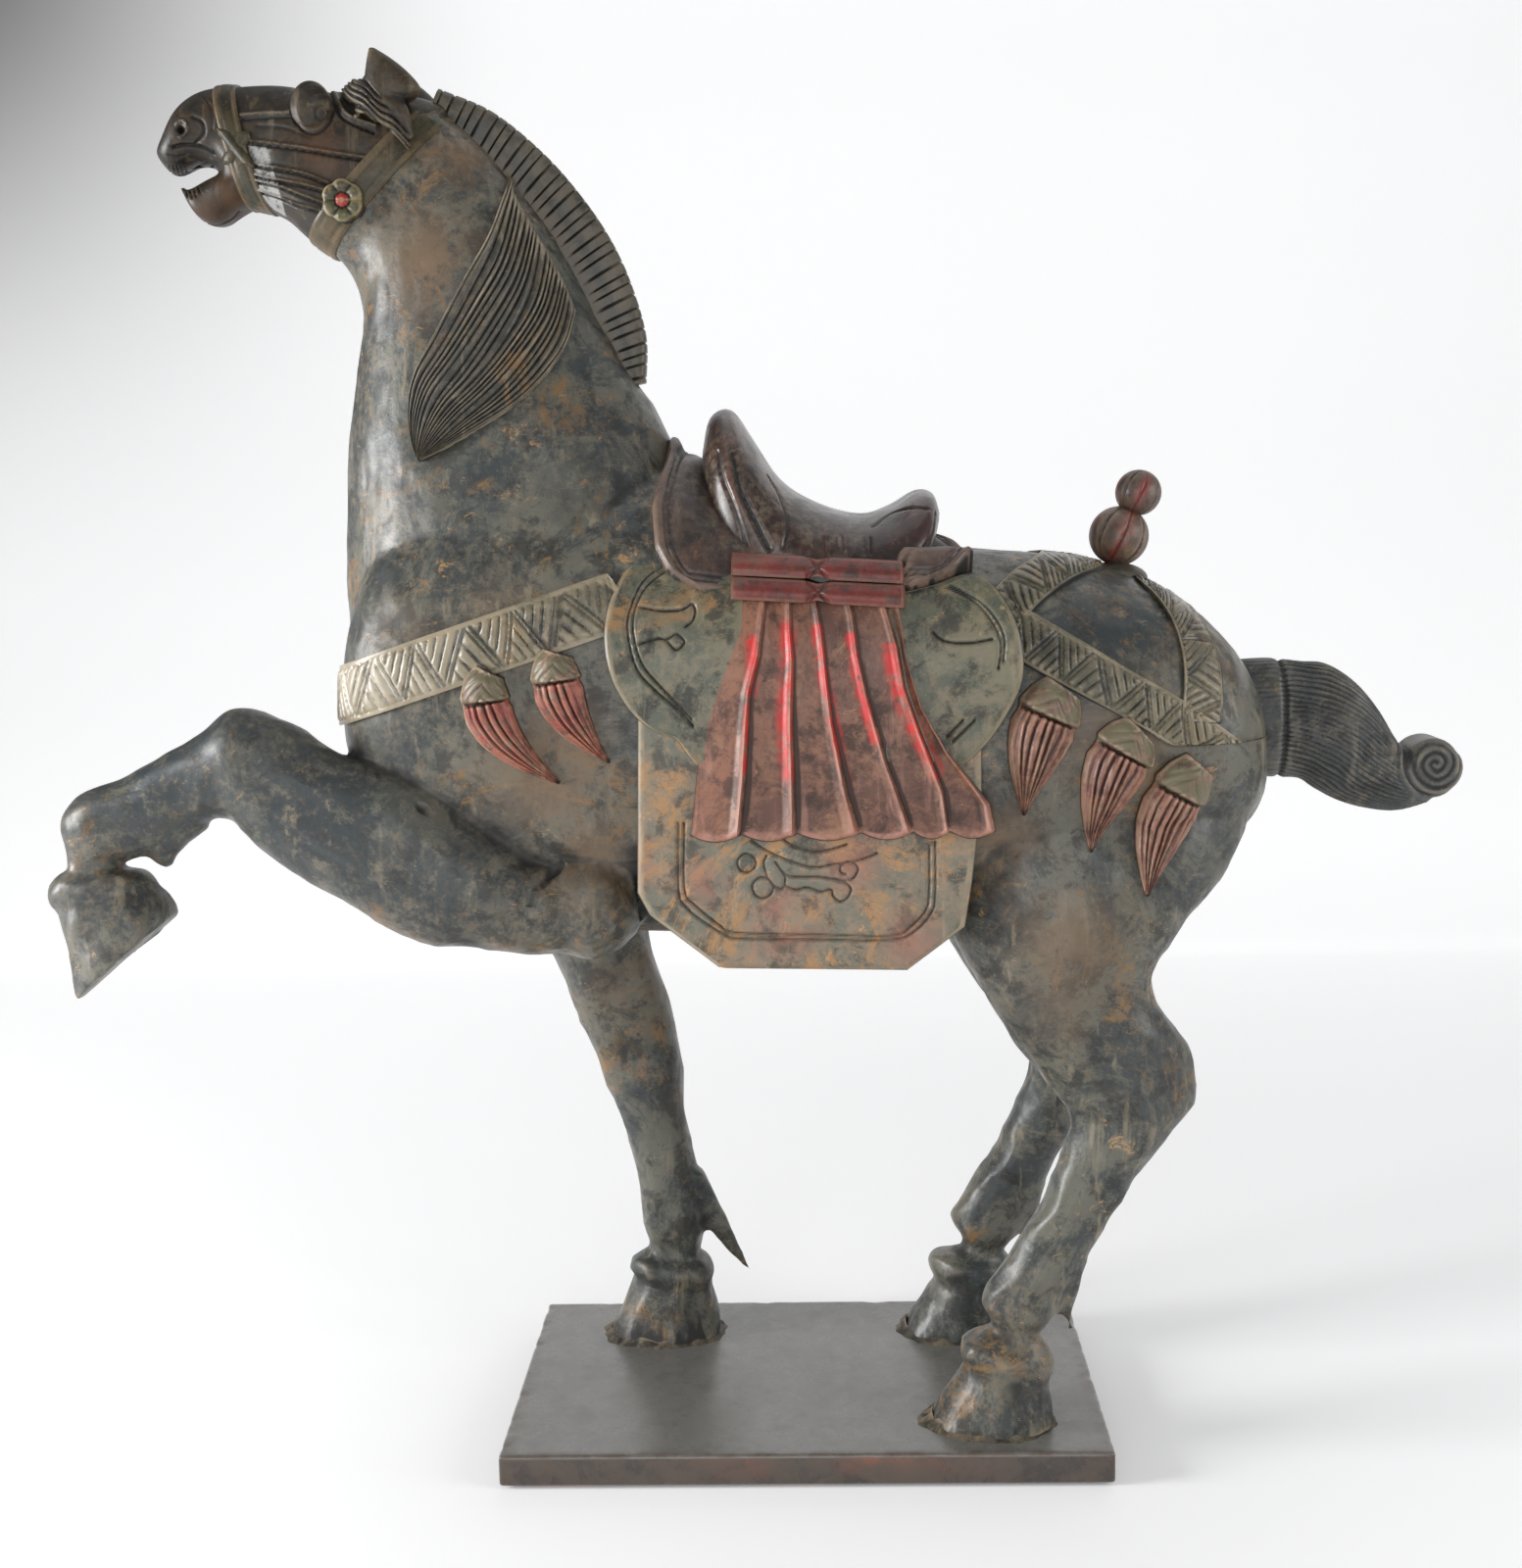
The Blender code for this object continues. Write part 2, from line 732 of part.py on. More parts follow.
def fuse(obj, voxel, smoothing):
    """Joins overlapping closed forms into one skin and eases the joins."""
    remesh = obj.modifiers.new("Remesh", "REMESH")
    remesh.mode = "VOXEL"
    remesh.voxel_size = voxel
    ease = obj.modifiers.new("Smooth", "SMOOTH")
    ease.factor = 0.5
    ease.iterations = smoothing
    made = bake(obj)
    keep_largest(made)
    return made


def mark_carving(obj):
    """Weights the skin inside the zones of fine carving, so that thinning spares them."""
    group = obj.vertex_groups.new(name="carving")
    corner = at(0, 0)
    for v in obj.data.vertices:
        x, z = (v.co.x - corner.x) / SHARE, (v.co.z - corner.z) / SHARE
        for x0, z0, x1, z1, weight in CARVED_ZONES:
            if x0 < x < x1 and z0 < z < z1:
                group.add([v.index], weight, "REPLACE")
    return group.name


def thin_out(obj, triangles, spared=""):
    """Reduces a dense skin to about that many triangles, sparing a vertex group."""
    count = sum(len(p.vertices) - 2 for p in obj.data.polygons)
    decimate = obj.modifiers.new("Decimate", "DECIMATE")
    decimate.ratio = min(1.0, triangles / count)
    decimate.use_collapse_triangulate = True
    if spared:
        decimate.vertex_group = spared
        decimate.vertex_group_factor = SPARING
        decimate.invert_vertex_group = True
    return bake(obj)


def shade(obj):
    """Smooth shading, broken at the sharp edges."""
    obj.data.shade_smooth()
    obj.data.set_sharp_from_angle(angle=math.radians(SHARP_EDGE_DEG))


def flatten_soles(mesh):
    """Levels the soles where they stand."""
    for v in mesh.vertices:
        if v.co.z < SOLE_LEVEL + SPECK_HEIGHT:
            v.co.z = SOLE_LEVEL


def block_forms(bm):
    """Trunk, neck, head and legs, before any carving."""
    loft(bm, TRUNK, TRUNK_RING, points=2 * RING_POINTS)
    loft(bm, NECK, NECK_RING, points=2 * RING_POINTS)
    loft(bm, HEAD, HEAD_RING)
    loft(bm, MUZZLE, MUZZLE_RING)
    loft(bm, JAW, MUZZLE_RING)
    x, z, y, *radii = ELBOW
    ellipsoid(bm, x, z, y, radii)
    for rows in (RAISED_FORELEG, RAISED_RING, RAISED_HOOF, RAISED_SPUR):
        loft(bm, rows)
    for rows in (STANDING_FORELEG, STANDING_RING, STANDING_HOOF, STANDING_SPUR):
        loft(bm, rows)
    for rows in (HIND_LEG, HIND_RING, HIND_HOOF, HIND_SPUR):
        loft(bm, rows, side=NEAR)
        loft(bm, rows, side=FAR, shift=FAR_HIND_SHIFT)


def crest(bm, stations=25):
    """The clipped mane: a thin upright ridge down the back of the neck."""
    outer, inner = [], []
    for t in np.linspace(0, 1, stations):
        root, edge = along(CREST_ROOT, t), along(CREST_EDGE, t)
        rows = [(root + (edge - root) * up, CREST_HALF_WIDTH * width) for up, width in CREST_TAPER]
        outer.append([at(p[0], p[1], -half) for p, half in rows])
        inner.append([at(p[0], p[1], half) for p, half in rows])
    skin_slab(bm, outer, inner)


def head_details(bm, skin):
    """Eyes, ears, forelock, bridle straps and rosettes."""
    for side in (NEAR, FAR):
        x, z, y, *radii = EYE
        ellipsoid(bm, x, z, side * y, radii)
        for rows in (EAR, EAR_LOBE, FORELOCK):
            loft(bm, rows, EAR_RING, side=side)
        x, z, y, radius, depth = ROSETTE
        ellipsoid(bm, x, z, side * y, (radius, radius, depth))
    for x, z, slope, half in (NOSEBAND, THROAT_STRAP):
        belt(bm, skin, at(x, z), slope, half, FULL_TURN / 2, HEAD_REACH, BRIDLE_PROUD)


def hair_lock(bm, skin, side):
    """The long lock of mane, combed from the crest down to one point on the neck."""

    def place(u, v):
        front, back, top = along(HAIR_FRONT, v), along(HAIR_BACK, v), along(HAIR_TOP, u)
        level = np.array(HAIR_TOP[0]) * (1 - u) + np.array(HAIR_BACK[0]) * u
        return front * (1 - u) + back * u + (top - level) * (1 - v)

    def height(u, v):
        wave = 0.5 + 0.5 * math.cos(2 * math.pi * HAIR_LOCKS * u)
        rim = min(1.0, u * HAIR_RIM, (1 - u) * HAIR_RIM, v * HAIR_RIM)
        return rim * HAIR_PROUD * (1 - HAIR_GROOVE * wave)

    side_patch(bm, skin, place, side, height, HAIR_LOCKS * LOCK_FACES, HAIR_STATIONS)


def tassel(bm, skin, cap, middle, tip, half_width, side):
    """A hanging tassel on a curve from its cap to its tip, fluted, and waisted below the cap."""
    cap, middle, tip = (np.array(p, float) for p in (cap, middle, tip))
    bend = middle * 2 - (cap + tip) / 2

    def place(u, v):
        point = cap * (1 - v) ** 2 + bend * 2 * v * (1 - v) + tip * v**2
        run = (bend - cap) * (1 - v) + (tip - bend) * v
        across = np.array((-run[1], run[0])) / np.hypot(*run)
        return point + across * (1 - 2 * u) * half_width * np.interp(v, *zip(*TASSEL_SHAPE))

    def height(u, v):
        dome = math.sqrt(math.sin(math.pi * u))
        flute = FLUTE_DEPTH * (1 - math.cos(2 * math.pi * TASSEL_FLUTES * u)) * (v > TASSEL_NECK)
        return TASSEL_PROUD * dome * (1 - flute) * min(1.0, TASSEL_TIP + 2 * (1 - v))

    side_patch(bm, skin, place, side, height, TASSEL_FLUTES * FLUTE_FACES, TASSEL_STATIONS)


def pleated_cloth(bm, side, stations=11):
    """The pleated cloth that hangs from the girth bands, with folds that deepen to its hem."""
    outer, inner = [], []
    for v in np.linspace(0, 1, stations):
        a, b = along(CLOTH_LEFT, v), along(CLOTH_RIGHT, v)
        top, low = [], []
        for u in np.linspace(0, 1, CLOTH_FOLDS * FOLD_FACES + 1):
            x, z = a + (b - a) * u
            ridge = math.sin(math.pi * (CLOTH_FOLDS * u % 1.0)) ** FOLD_ROUNDNESS
            fold = CLOTH_PROUD + CLOTH_FOLD_DEPTH * ridge * (HEM_START + (1 - HEM_START) * v)
            top.append(at(x, z, side * (tack_depth(z) + fold / SHARE)))
            low.append(at(x, z, side * (tack_depth(z) - CLOTH_ROOT)))
        outer.append(top)
        inner.append(low)
    skin_slab(bm, outer, inner)


def girth_bands(bm, side, stations=9, across=5):
    """Two rolled bands over the top of the cloth."""
    for high, low_edge in BAND_ROWS:
        outer, inner = [], []
        for t in np.linspace(0, 1, stations):
            x = BAND_ENDS[0] + (BAND_ENDS[1] - BAND_ENDS[0]) * t
            top, low = [], []
            for share in np.linspace(0, 1, across):
                z = high + (low_edge - high) * share - BAND_DROOP * t
                roll = BAND_PROUD + BAND_ROLL * math.sin(math.pi * share)
                top.append(at(x, z, side * (tack_depth(z) + roll)))
                low.append(at(x, z, side * (tack_depth(z) - BAND_ROOT)))
            outer.append(top)
            inner.append(low)
        skin_slab(bm, outer, inner)


def blanket(bm, skin, around=40, stations=25):
    """The small saddle blanket: one sheet over the back, rounded at its four corners."""
    outer, inner = [], []
    for t in np.linspace(-1, 1, around + 1):
        front = np.interp(abs(t), *zip(*BLANKET_FRONT))
        rear = np.interp(abs(t), *zip(*BLANKET_REAR))
        angle = math.radians(90 + BLANKET_TURN * t)
        spots = [skin.from_axis(x, angle) for x in np.linspace(front, rear, stations)]
        outer.append([found + away * BLANKET_PROUD for found, away in spots])
        inner.append([found - away * RELIEF_ROOT for found, away in spots])
    skin_slab(bm, outer, inner)


def saddlery(bm, skin):
    """Side boards, lobes, blanket, saddle, bands and cloth."""
    for side in (NEAR, FAR):
        tack_panel(bm, SIDE_BOARD, side, 0, BOARD_THICKNESS)
        tack_panel(bm, FRONT_LOBE, side, LOBE_PROUD, LOBE_THICKNESS)
        tack_panel(bm, REAR_LOBE, side, LOBE_PROUD, LOBE_THICKNESS)
        pleated_cloth(bm, side)
        girth_bands(bm, side)
    blanket(bm, skin)
    loft(bm, SADDLE, SADDLE_RING, points=2 * RING_POINTS)


def harness(bm, skin):
    """Chest strap, croup straps, breeching and the tassels that hang from them."""
    x, z, slope, half, turn = CHEST_STRAP
    belt(bm, skin, at(x, z), slope, half, turn, CHEST_REACH, STRAP_PROUD)
    for side in (NEAR, FAR):
        for line in (BREECHING, *CROUP_STRAPS):
            rump_strap(bm, skin, line, side)
        for place in FRONT_TASSELS + REAR_TASSELS:
            tassel(bm, skin, *place, side)


def horse():
    """The carved horse with its saddlery, one piece of wood."""
    block = bmesh.new()
    block_forms(block)
    body = mesh_object("carved_horse", block, HORSE_PAINT)
    rough_cut = fuse(body, BLOCK_VOXEL, smoothing=6)
    skin = Skin(rough_cut)
    carving = bmesh.new()
    carving.from_mesh(rough_cut)
    crest(carving)
    head_details(carving, skin)
    for side in (NEAR, FAR):
        hair_lock(carving, skin, side)
    saddlery(carving, skin)
    harness(carving, skin)
    bmesh.ops.recalc_face_normals(carving, faces=carving.faces)
    carving.to_mesh(rough_cut)
    carving.free()
    fuse(body, CARVING_VOXEL, smoothing=1)
    flatten_soles(thin_out(body, HORSE_TRIANGLES, mark_carving(body)))
    shade(body)
    return body


def tail(body):
    """The tail, a piece of its own fitted to the rump, ending in a curl."""
    bm = bmesh.new()
    loft(bm, TAIL, TAIL_RING)
    x, z, radius, half_width = TAIL_CURL
    rings = []
    for share, swell in CURL_PROFILE:
        spots = [(radius * swell * math.cos(a), radius * swell * math.sin(a)) for a in turns(RING_POINTS)]
        rings.append([at(x + along_x, z + along_z, half_width * share) for along_x, along_z in spots])
    skin_tube(bm, rings)
    obj = mesh_object("tail", bm, TAIL_PAINT)
    fuse(obj, CARVING_VOXEL, smoothing=2)
    thin_out(obj, TAIL_TRIANGLES)
    rump = bpy.data.objects.new("rump_cutter", body.data.copy())
    bpy.context.collection.objects.link(rump)
    rump.hide_render = True
    rump.display_type = "WIRE"
    clearance = rump.modifiers.new("Clearance", "DISPLACE")
    clearance.strength = TAIL_CLEARANCE
    clearance.mid_level = 0.0
    fit = obj.modifiers.new("Fit", "BOOLEAN")
    fit.operation = "DIFFERENCE"
    fit.object = rump
    fit.solver = "EXACT"
    shade(obj)


def melon(bm, centre, radius, axis, around=16, rings=8):
    """A ball with shallow grooves from pole to pole of its axis."""
    lean = Vector((0, 0, 1)).rotation_difference(axis)
    rows = []
    for i in range(1, rings):
        level, flat = math.cos(math.pi * i / rings), math.sin(math.pi * i / rings)
        row = []
        for k, angle in enumerate(turns(around)):
            out = (radius - BALL_GROOVE_DEPTH * (k % (around // BALL_SEGMENTS) == 0)) * flat
            spot = Vector((out * math.cos(angle), out * math.sin(angle), radius * level))
            row.append(centre + lean @ spot)
        rows.append(row)
    pole = lean @ Vector((0, 0, radius))
    skin_ball(bm, centre + pole, rows, centre - pole)


def ground_under(skin, centre, offset):
    """Height of the skin straight below a point moved sideways by offset."""
    return skin.hit(centre + Vector((*offset, RAY_REACH)), Vector((0, 0, -1))).z


def spread(radius, count=15):
    """Offsets over a disc of that radius."""
    steps = np.linspace(-radius, radius, count)
    return [(dx, dy) for dx in steps for dy in steps if math.hypot(dx, dy) <= radius]


def finial(body):
    """Two grooved balls on a short peg that stands on the croup, clear of the straps beside it."""
    skin = Skin(body.data)
    lower, upper = at(*LOWER_BALL), at(*UPPER_BALL)
    foot = spread(FINIAL_PEG_RADIUS * FOOT_MARGIN)
    foot_level = max(ground_under(skin, lower, d) for d in foot) + PIECE_GAP
    lift = 0.0
    for d in spread(LOWER_BALL_RADIUS):
        underside = lower.z - math.sqrt(max(LOWER_BALL_RADIUS**2 - d[0] ** 2 - d[1] ** 2, 0.0))
        lift = max(lift, ground_under(skin, lower, d) + BALL_CLEARANCE - underside)
    lower.z += lift
    upper.z += lift
    bm = bmesh.new()
    radius = FINIAL_PEG_RADIUS
    around = [(lower.x + radius * math.cos(a), radius * math.sin(a)) for a in turns(PEG_SIDES)]
    skin_tube(bm, [[(x, y, level) for x, y in around] for level in (foot_level, lower.z)])
    peg = mesh_object("croup_finial", bm, FINIAL_PAINT)
    balls = {"lower_ball": (lower, LOWER_BALL_RADIUS), "upper_ball": (upper, UPPER_BALL_RADIUS)}
    for name, (centre, radius) in balls.items():
        ball = bmesh.new()
        melon(ball, centre, radius, upper - lower)
        joined = mesh_object(name, ball, FINIAL_PAINT)
        joined.hide_render = True
        joined.display_type = "WIRE"
        union = peg.modifiers.new(name, "BOOLEAN")
        union.operation = "UNION"
        union.object = joined
        union.solver = "EXACT"


def base():
    """The plank that the horse stands on, with eased edges."""
    bm = bmesh.new()
    bmesh.ops.create_cube(bm, size=1.0)
    bmesh.ops.scale(bm, vec=(BASE_LENGTH, BASE_WIDTH, BASE_THICKNESS), verts=bm.verts)
    bmesh.ops.translate(bm, vec=(0, 0, BASE_THICKNESS / 2), verts=bm.verts)
    obj = mesh_object("base", bm, BASE_PAINT)
    bevel = obj.modifiers.new("Bevel", "BEVEL")
    bevel.width = BASE_EDGE_BEVEL
    bevel.segments = 1


def main():
    """Builds the base, the horse, its tail and the finial on its croup."""
    clear_scene()
    base()
    body = horse()
    tail(body)
    finial(body)


main()
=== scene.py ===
"""Carved wooden saddle horse, one foreleg raised, in worn lacquer on a plank base.

The horse faces -X with +Z up, and the origin is the centre of the base's underside. Forms are lofts
of closed rings, with rows in thousandths of the horse's height above its soles. Relief and cut lines
are placed by pixels of the photograph, cast through its camera onto the wood that carries them.
"""
import logging
import math
from dataclasses import dataclass
from enum import Enum
from typing import Sequence, Union

import bmesh
import bpy
import numpy as np
from mathutils import Matrix, Vector
from mathutils.bvhtree import BVHTree


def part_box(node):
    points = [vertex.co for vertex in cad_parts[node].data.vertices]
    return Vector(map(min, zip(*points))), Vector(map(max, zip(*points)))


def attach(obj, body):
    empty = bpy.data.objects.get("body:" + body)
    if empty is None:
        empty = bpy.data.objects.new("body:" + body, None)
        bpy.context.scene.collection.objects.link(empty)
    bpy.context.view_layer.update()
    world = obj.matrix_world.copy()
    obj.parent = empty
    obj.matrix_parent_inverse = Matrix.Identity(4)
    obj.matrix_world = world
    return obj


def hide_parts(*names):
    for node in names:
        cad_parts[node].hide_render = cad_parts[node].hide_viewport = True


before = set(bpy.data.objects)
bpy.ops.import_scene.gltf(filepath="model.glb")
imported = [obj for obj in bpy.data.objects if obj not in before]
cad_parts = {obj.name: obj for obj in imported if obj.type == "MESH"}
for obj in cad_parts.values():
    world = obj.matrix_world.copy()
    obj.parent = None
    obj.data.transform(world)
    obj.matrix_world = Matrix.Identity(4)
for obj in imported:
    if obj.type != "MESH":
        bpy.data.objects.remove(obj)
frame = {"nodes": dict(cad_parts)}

Array = np.ndarray
Pixels = Sequence[tuple[float, float]]
Spot = tuple[float, float, float]
Colour = Spot
Rows = Sequence[tuple[float, ...]]
Piece = bpy.types.Object
Socket = bpy.types.NodeSocket
Value = Union[Socket, float, Colour]
log = logging.getLogger("horse")

# Driving sizes in metres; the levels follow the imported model
HORSE_HEIGHT = 1.185
SHARE = HORSE_HEIGHT / 1000
SOLE_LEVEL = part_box("carved_horse")[0].z
BASE_LOW, BASE_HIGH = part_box("base")
BODY = "root"
RELIEF_ROOT = 0.006
SHARP_EDGE = math.radians(48)
FAR_LEG_SHIFT = -12
SADDLERY_PLANE = -0.160
BOARD_EDGE = 0.005
FINE_RING = 64
CIRCLE = 2 * math.pi


class Side(Enum):
    """The two flanks, as the sign of y."""

    NEAR = -1
    FAR = 1

    @property
    def label(self) -> str:
        """The flank as it ends the names of pieces."""
        return self.name.lower()


class Slot(Enum):
    """The record's material slots."""

    HORSE = "horse_wood"
    TAIL = "tail_wood"
    FINIAL = "finial_wood"
    BASE = "base_wood"


# Rows are front x, front z, back x, back z, middle y, half width
TRUNK = (
    (-328, 500, -324, 566, 0, 46), (-321, 468, -315, 612, 0, 79), (-301, 432, -293, 654, 0, 102),
    (-262, 402, -250, 684, 0, 116), (-203, 374, -191, 694, 0, 124), (-144, 358, -134, 699, 0, 126),
    (-85, 352, -76, 698, 0, 125), (-50, 352, -44, 680, 0, 125), (-11, 352, -5, 661, 0, 124),
    (63, 355, 66, 641, 0, 124), (137, 364, 138, 634, 0, 126), (195, 378, 195, 628, 0, 127),
    (239, 390, 238, 616, 0, 124), (283, 404, 281, 595, 0, 114), (313, 416, 312, 569, 0, 98),
    (333, 434, 332, 537, 0, 72), (342, 458, 341, 506, 0, 38),
)
NECK = (
    (-322, 848, -250, 958, 0, 38), (-311, 829, -221, 933, 0, 44), (-309, 803, -190, 896, 0, 50),
    (-315, 762, -160, 855, 0, 57), (-322, 721, -138, 808, 0, 66), (-326, 671, -113, 765, 0, 77),
    (-328, 621, -87, 720, 0, 90), (-327, 577, -74, 668, 0, 102), (-324, 535, -84, 590, 0, 108),
)
HEAD = (
    (-300, 826, -240, 955, 0, 36), (-310, 838, -258, 961, 0, 40), (-325, 850, -282, 966, 0, 43),
    (-344, 864, -310, 966, 0, 44), (-359, 878, -335, 968, 0, 42), (-377, 886, -361, 972, 0, 36),
    (-391, 889, -386, 972, 0, 32), (-399, 900, -400, 971, 0, 30),
)
MUZZLE = (
    (-392, 900, -388, 972, 0, 31), (-409, 915, -403, 972, 0, 30), (-422, 918, -417, 969, 0, 30),
    (-432, 914, -429, 962, 0, 29), (-440, 911, -437, 953, 0, 26), (-447, 919, -444, 938, 0, 21),
    (-451, 925, -450, 930, 0, 12),
)
JAW = (
    (-385, 888, -398, 914, 0, 29), (-396, 882, -413, 909, 0, 26), (-407, 875, -422, 905, 0, 23),
    (-420, 878, -430, 901, 0, 21), (-427, 888, -434, 903, 0, 17), (-431, 896, -438, 905, 0, 10),
)
RAISED_FORELEG = (
    (-119, 425, -148, 350, -66, 44), (-173, 424, -187, 353, -78, 46), (-203, 439, -224, 359, -86, 46),
    (-236, 465, -269, 365, -92, 43), (-272, 487, -314, 392, -94, 39), (-317, 501, -354, 416, -93, 35),
    (-354, 525, -381, 436, -93, 32), (-390, 536, -395, 453, -93, 29), (-415, 520, -407, 456, -91, 26),
    (-445, 503, -428, 448, -89, 24), (-477, 487, -450, 434, -88, 23), (-510, 474, -475, 426, -86, 23),
    (-523, 456, -479, 425, -85, 21), (-521, 436, -480, 421, -84, 18), (-521, 424, -477, 416, -84, 18),
)
RAISED_RING = (
    (-525, 420, -476, 420, -84, 18), (-534, 413, -468, 420, -84, 23), (-538, 403, -460, 414, -84, 26),
    (-534, 393, -458, 409, -84, 25), (-525, 390, -462, 405, -84, 20),
)
RAISED_HOOF = (
    (-526, 396, -464, 409, -84, 22), (-529, 386, -456, 406, -84, 28), (-524, 357, -448, 398, -84, 32),
    (-519, 324, -444, 386, -84, 36),
)
RAISED_SPUR = (
    (-460, 450, -415, 450, -87, 16), (-462, 435, -432, 437, -87, 13), (-458, 426, -440, 429, -87, 9),
    (-450, 420, -444, 421, -87, 4),
)
STANDING_FORELEG = (
    (-223, 400, -118, 395, 66, 45), (-211, 350, -118, 350, 74, 44), (-198, 314, -115, 315, 80, 41),
    (-187, 280, -107, 284, 83, 37), (-173, 248, -101, 257, 84, 34), (-159, 209, -95, 218, 84, 31),
    (-145, 171, -93, 180, 84, 28), (-137, 136, -87, 143, 84, 25), (-135, 109, -83, 114, 84, 24),
    (-134, 88, -81, 90, 84, 25), (-128, 76, -84, 71, 84, 20), (-131, 66, -84, 60, 84, 20),
)
STANDING_RING = (
    (-133, 69, -84, 64, 84, 20), (-142, 64, -77, 60, 84, 27), (-145, 57, -73, 50, 84, 30),
    (-141, 49, -75, 42, 84, 29), (-136, 45, -81, 36, 84, 24),
)
STANDING_HOOF = (
    (-137, 56, -82, 52, 84, 24), (-141, 46, -76, 40, 84, 29), (-152, 22, -71, 17, 84, 34),
    (-164, -6, -68, -6, 84, 40),
)
STANDING_SPUR = (
    (-100, 135, -80, 135, 84, 16), (-92, 112, -71, 112, 84, 13), (-85, 94, -61, 90, 84, 10),
    (-74, 78, -53, 72, 84, 7), (-53, 54, -43, 47, 84, 3),
)
HIND_LEG = (
    (74, 472, 329, 472, 50, 58), (84, 438, 323, 438, 56, 62), (97, 400, 303, 400, 66, 61),
    (110, 362, 270, 361, 76, 56), (126, 331, 252, 335, 81, 51), (139, 307, 255, 315, 84, 45),
    (158, 277, 268, 295, 84, 39), (179, 250, 281, 277, 84, 34), (191, 230, 284, 243, 84, 30),
    (191, 218, 277, 230, 84, 29), (185, 197, 260, 208, 84, 27), (173, 169, 237, 176, 84, 25),
    (158, 143, 218, 145, 84, 24), (143, 119, 206, 121, 84, 24), (130, 98, 194, 95, 84, 24),
    (130, 87, 186, 81, 84, 24), (136, 75, 175, 69, 84, 19), (132, 66, 175, 60, 84, 19),
)
HIND_RING = (
    (127, 69, 177, 62, 84, 20), (114, 64, 181, 54, 84, 27), (111, 56, 183, 45, 84, 30),
    (114, 47, 181, 36, 84, 29), (120, 43, 176, 33, 84, 24),
)
HIND_HOOF = ((119, 56, 177, 46, 84, 24), (116, 44, 178, 34, 84, 29), (101, 20, 181, 14, 84, 33),
    (86, -6, 183, -6, 84, 38))
HIND_SPUR = (
    (190, 125, 208, 124, 84, 16), (188, 108, 203, 107, 84, 13), (184, 88, 199, 86, 84, 10),
    (188, 76, 197, 72, 84, 6), (193, 66, 196, 62, 84, 3),
)
EAR = (
    (-303, 940, -256, 956, 34, 14), (-298, 952, -253, 962, 38, 12), (-292, 966, -261, 972, 41, 9),
    (-289, 980, -272, 981, 42, 6), (-287, 988, -283, 988, 42, 3),
)
EAR_LOBE = ((-304, 962, -286, 972, 34, 9), (-292, 948, -272, 962, 40, 10), (-275, 936, -262, 948, 41, 8),
    (-263, 924, -258, 928, 40, 3))
FORELOCK = (
    (-312, 960, -308, 966, 24, 8), (-305, 954, -296, 970, 32, 13), (-290, 942, -278, 958, 40, 11),
    (-272, 929, -266, 938, 42, 7), (-262, 918, -260, 922, 42, 2),
)
SADDLE_FORM = (
    (-52, 600, -63, 708, 0, 66), (-44, 570, -57, 732, 0, 84), (-34, 560, -42, 737, 0, 94),
    (-24, 555, -27, 716, 0, 98), (-8, 555, -7, 686, 0, 101), (20, 555, 20, 669, 0, 104),
    (50, 555, 50, 661, 0, 105), (72, 555, 72, 667, 0, 104), (84, 560, 90, 677, 0, 98),
    (90, 580, 102, 675, 0, 86), (92, 610, 107, 662, 0, 64),
)
TAIL_FORM = (
    (322, 465, 322, 549, 0, 28), (345, 462, 345, 550, 0, 29), (358, 461, 358, 549, 0, 29),
    (372, 460, 373, 547, 0, 30), (384, 452, 391, 545, 0, 31), (401, 443, 411, 532, 0, 31),
    (421, 437, 428, 512, 0, 29), (444, 435, 441, 490, 0, 26), (467, 441, 452, 479, 0, 24),
)
CREST_ROOT = ((-258, 938), (-225, 922), (-200, 896), (-172, 862), (-150, 826), (-134, 790), (-122, 768),
    (-116, 756))
CREST_EDGE = ((-246, 967), (-208, 950), (-172, 920), (-144, 887), (-124, 855), (-111, 823), (-103, 790),
    (-104, 758))


def place(spots: Union[Array, Spot]) -> Array:
    """Turns x, y, z in thousandths of the horse's height into metres.

    Args:
        spots: An array whose last axis is x, y, z above the soles.

    Returns:
        The same array in metres, in the model's frame.
    """
    return np.asarray(spots, float) * SHARE + (0.0, 0.0, SOLE_LEVEL)


def smooth_rows(rows: Rows, steps: int) -> Array:
    """Adds rows between the given ones, on a curve through them all.

    Args:
        rows: Rows of numbers.
        steps: Stretches that each gap is cut into.

    Returns:
        The finer rows.
    """
    rows = np.array(rows, float)
    slopes = np.gradient(rows, axis=0)
    t = (np.arange(steps) / steps)[:, None]
    curve = (2 * t**3 - 3 * t**2 + 1, t**3 - 2 * t**2 + t, 3 * t**2 - 2 * t**3, t**3 - t**2)
    parts = [
        curve[0] * rows[i] + curve[1] * slopes[i] + curve[2] * rows[i + 1] + curve[3] * slopes[i + 1]
        for i in range(len(rows) - 1)
    ]
    return np.vstack([*parts, rows[-1:]])


def smooth_line(points: Union[Array, Rows], count: int) -> Array:
    """Evenly spaced points on a curve through a line's own points.

    Args:
        points: The line's points.
        count: How many points to return.

    Returns:
        An array of count points.
    """
    fine = smooth_rows(points, 8) if len(points) > 2 else np.array(points, float)
    reach = np.concatenate([[0.0], np.cumsum(np.linalg.norm(np.diff(fine, axis=0), axis=1))])
    wanted = np.linspace(0, reach[-1], count)
    return np.stack([np.interp(wanted, reach, fine[:, k]) for k in range(fine.shape[1])], axis=1)


def ease(x: Array) -> Array:
    """Smooth step from 0 to 1."""
    x = np.clip(x, 0.0, 1.0)
    return x * x * (3 - 2 * x)


def unit(v: Array) -> Array:
    """Vectors of length one."""
    return v / np.maximum(np.linalg.norm(v, axis=-1, keepdims=True), 1e-9)


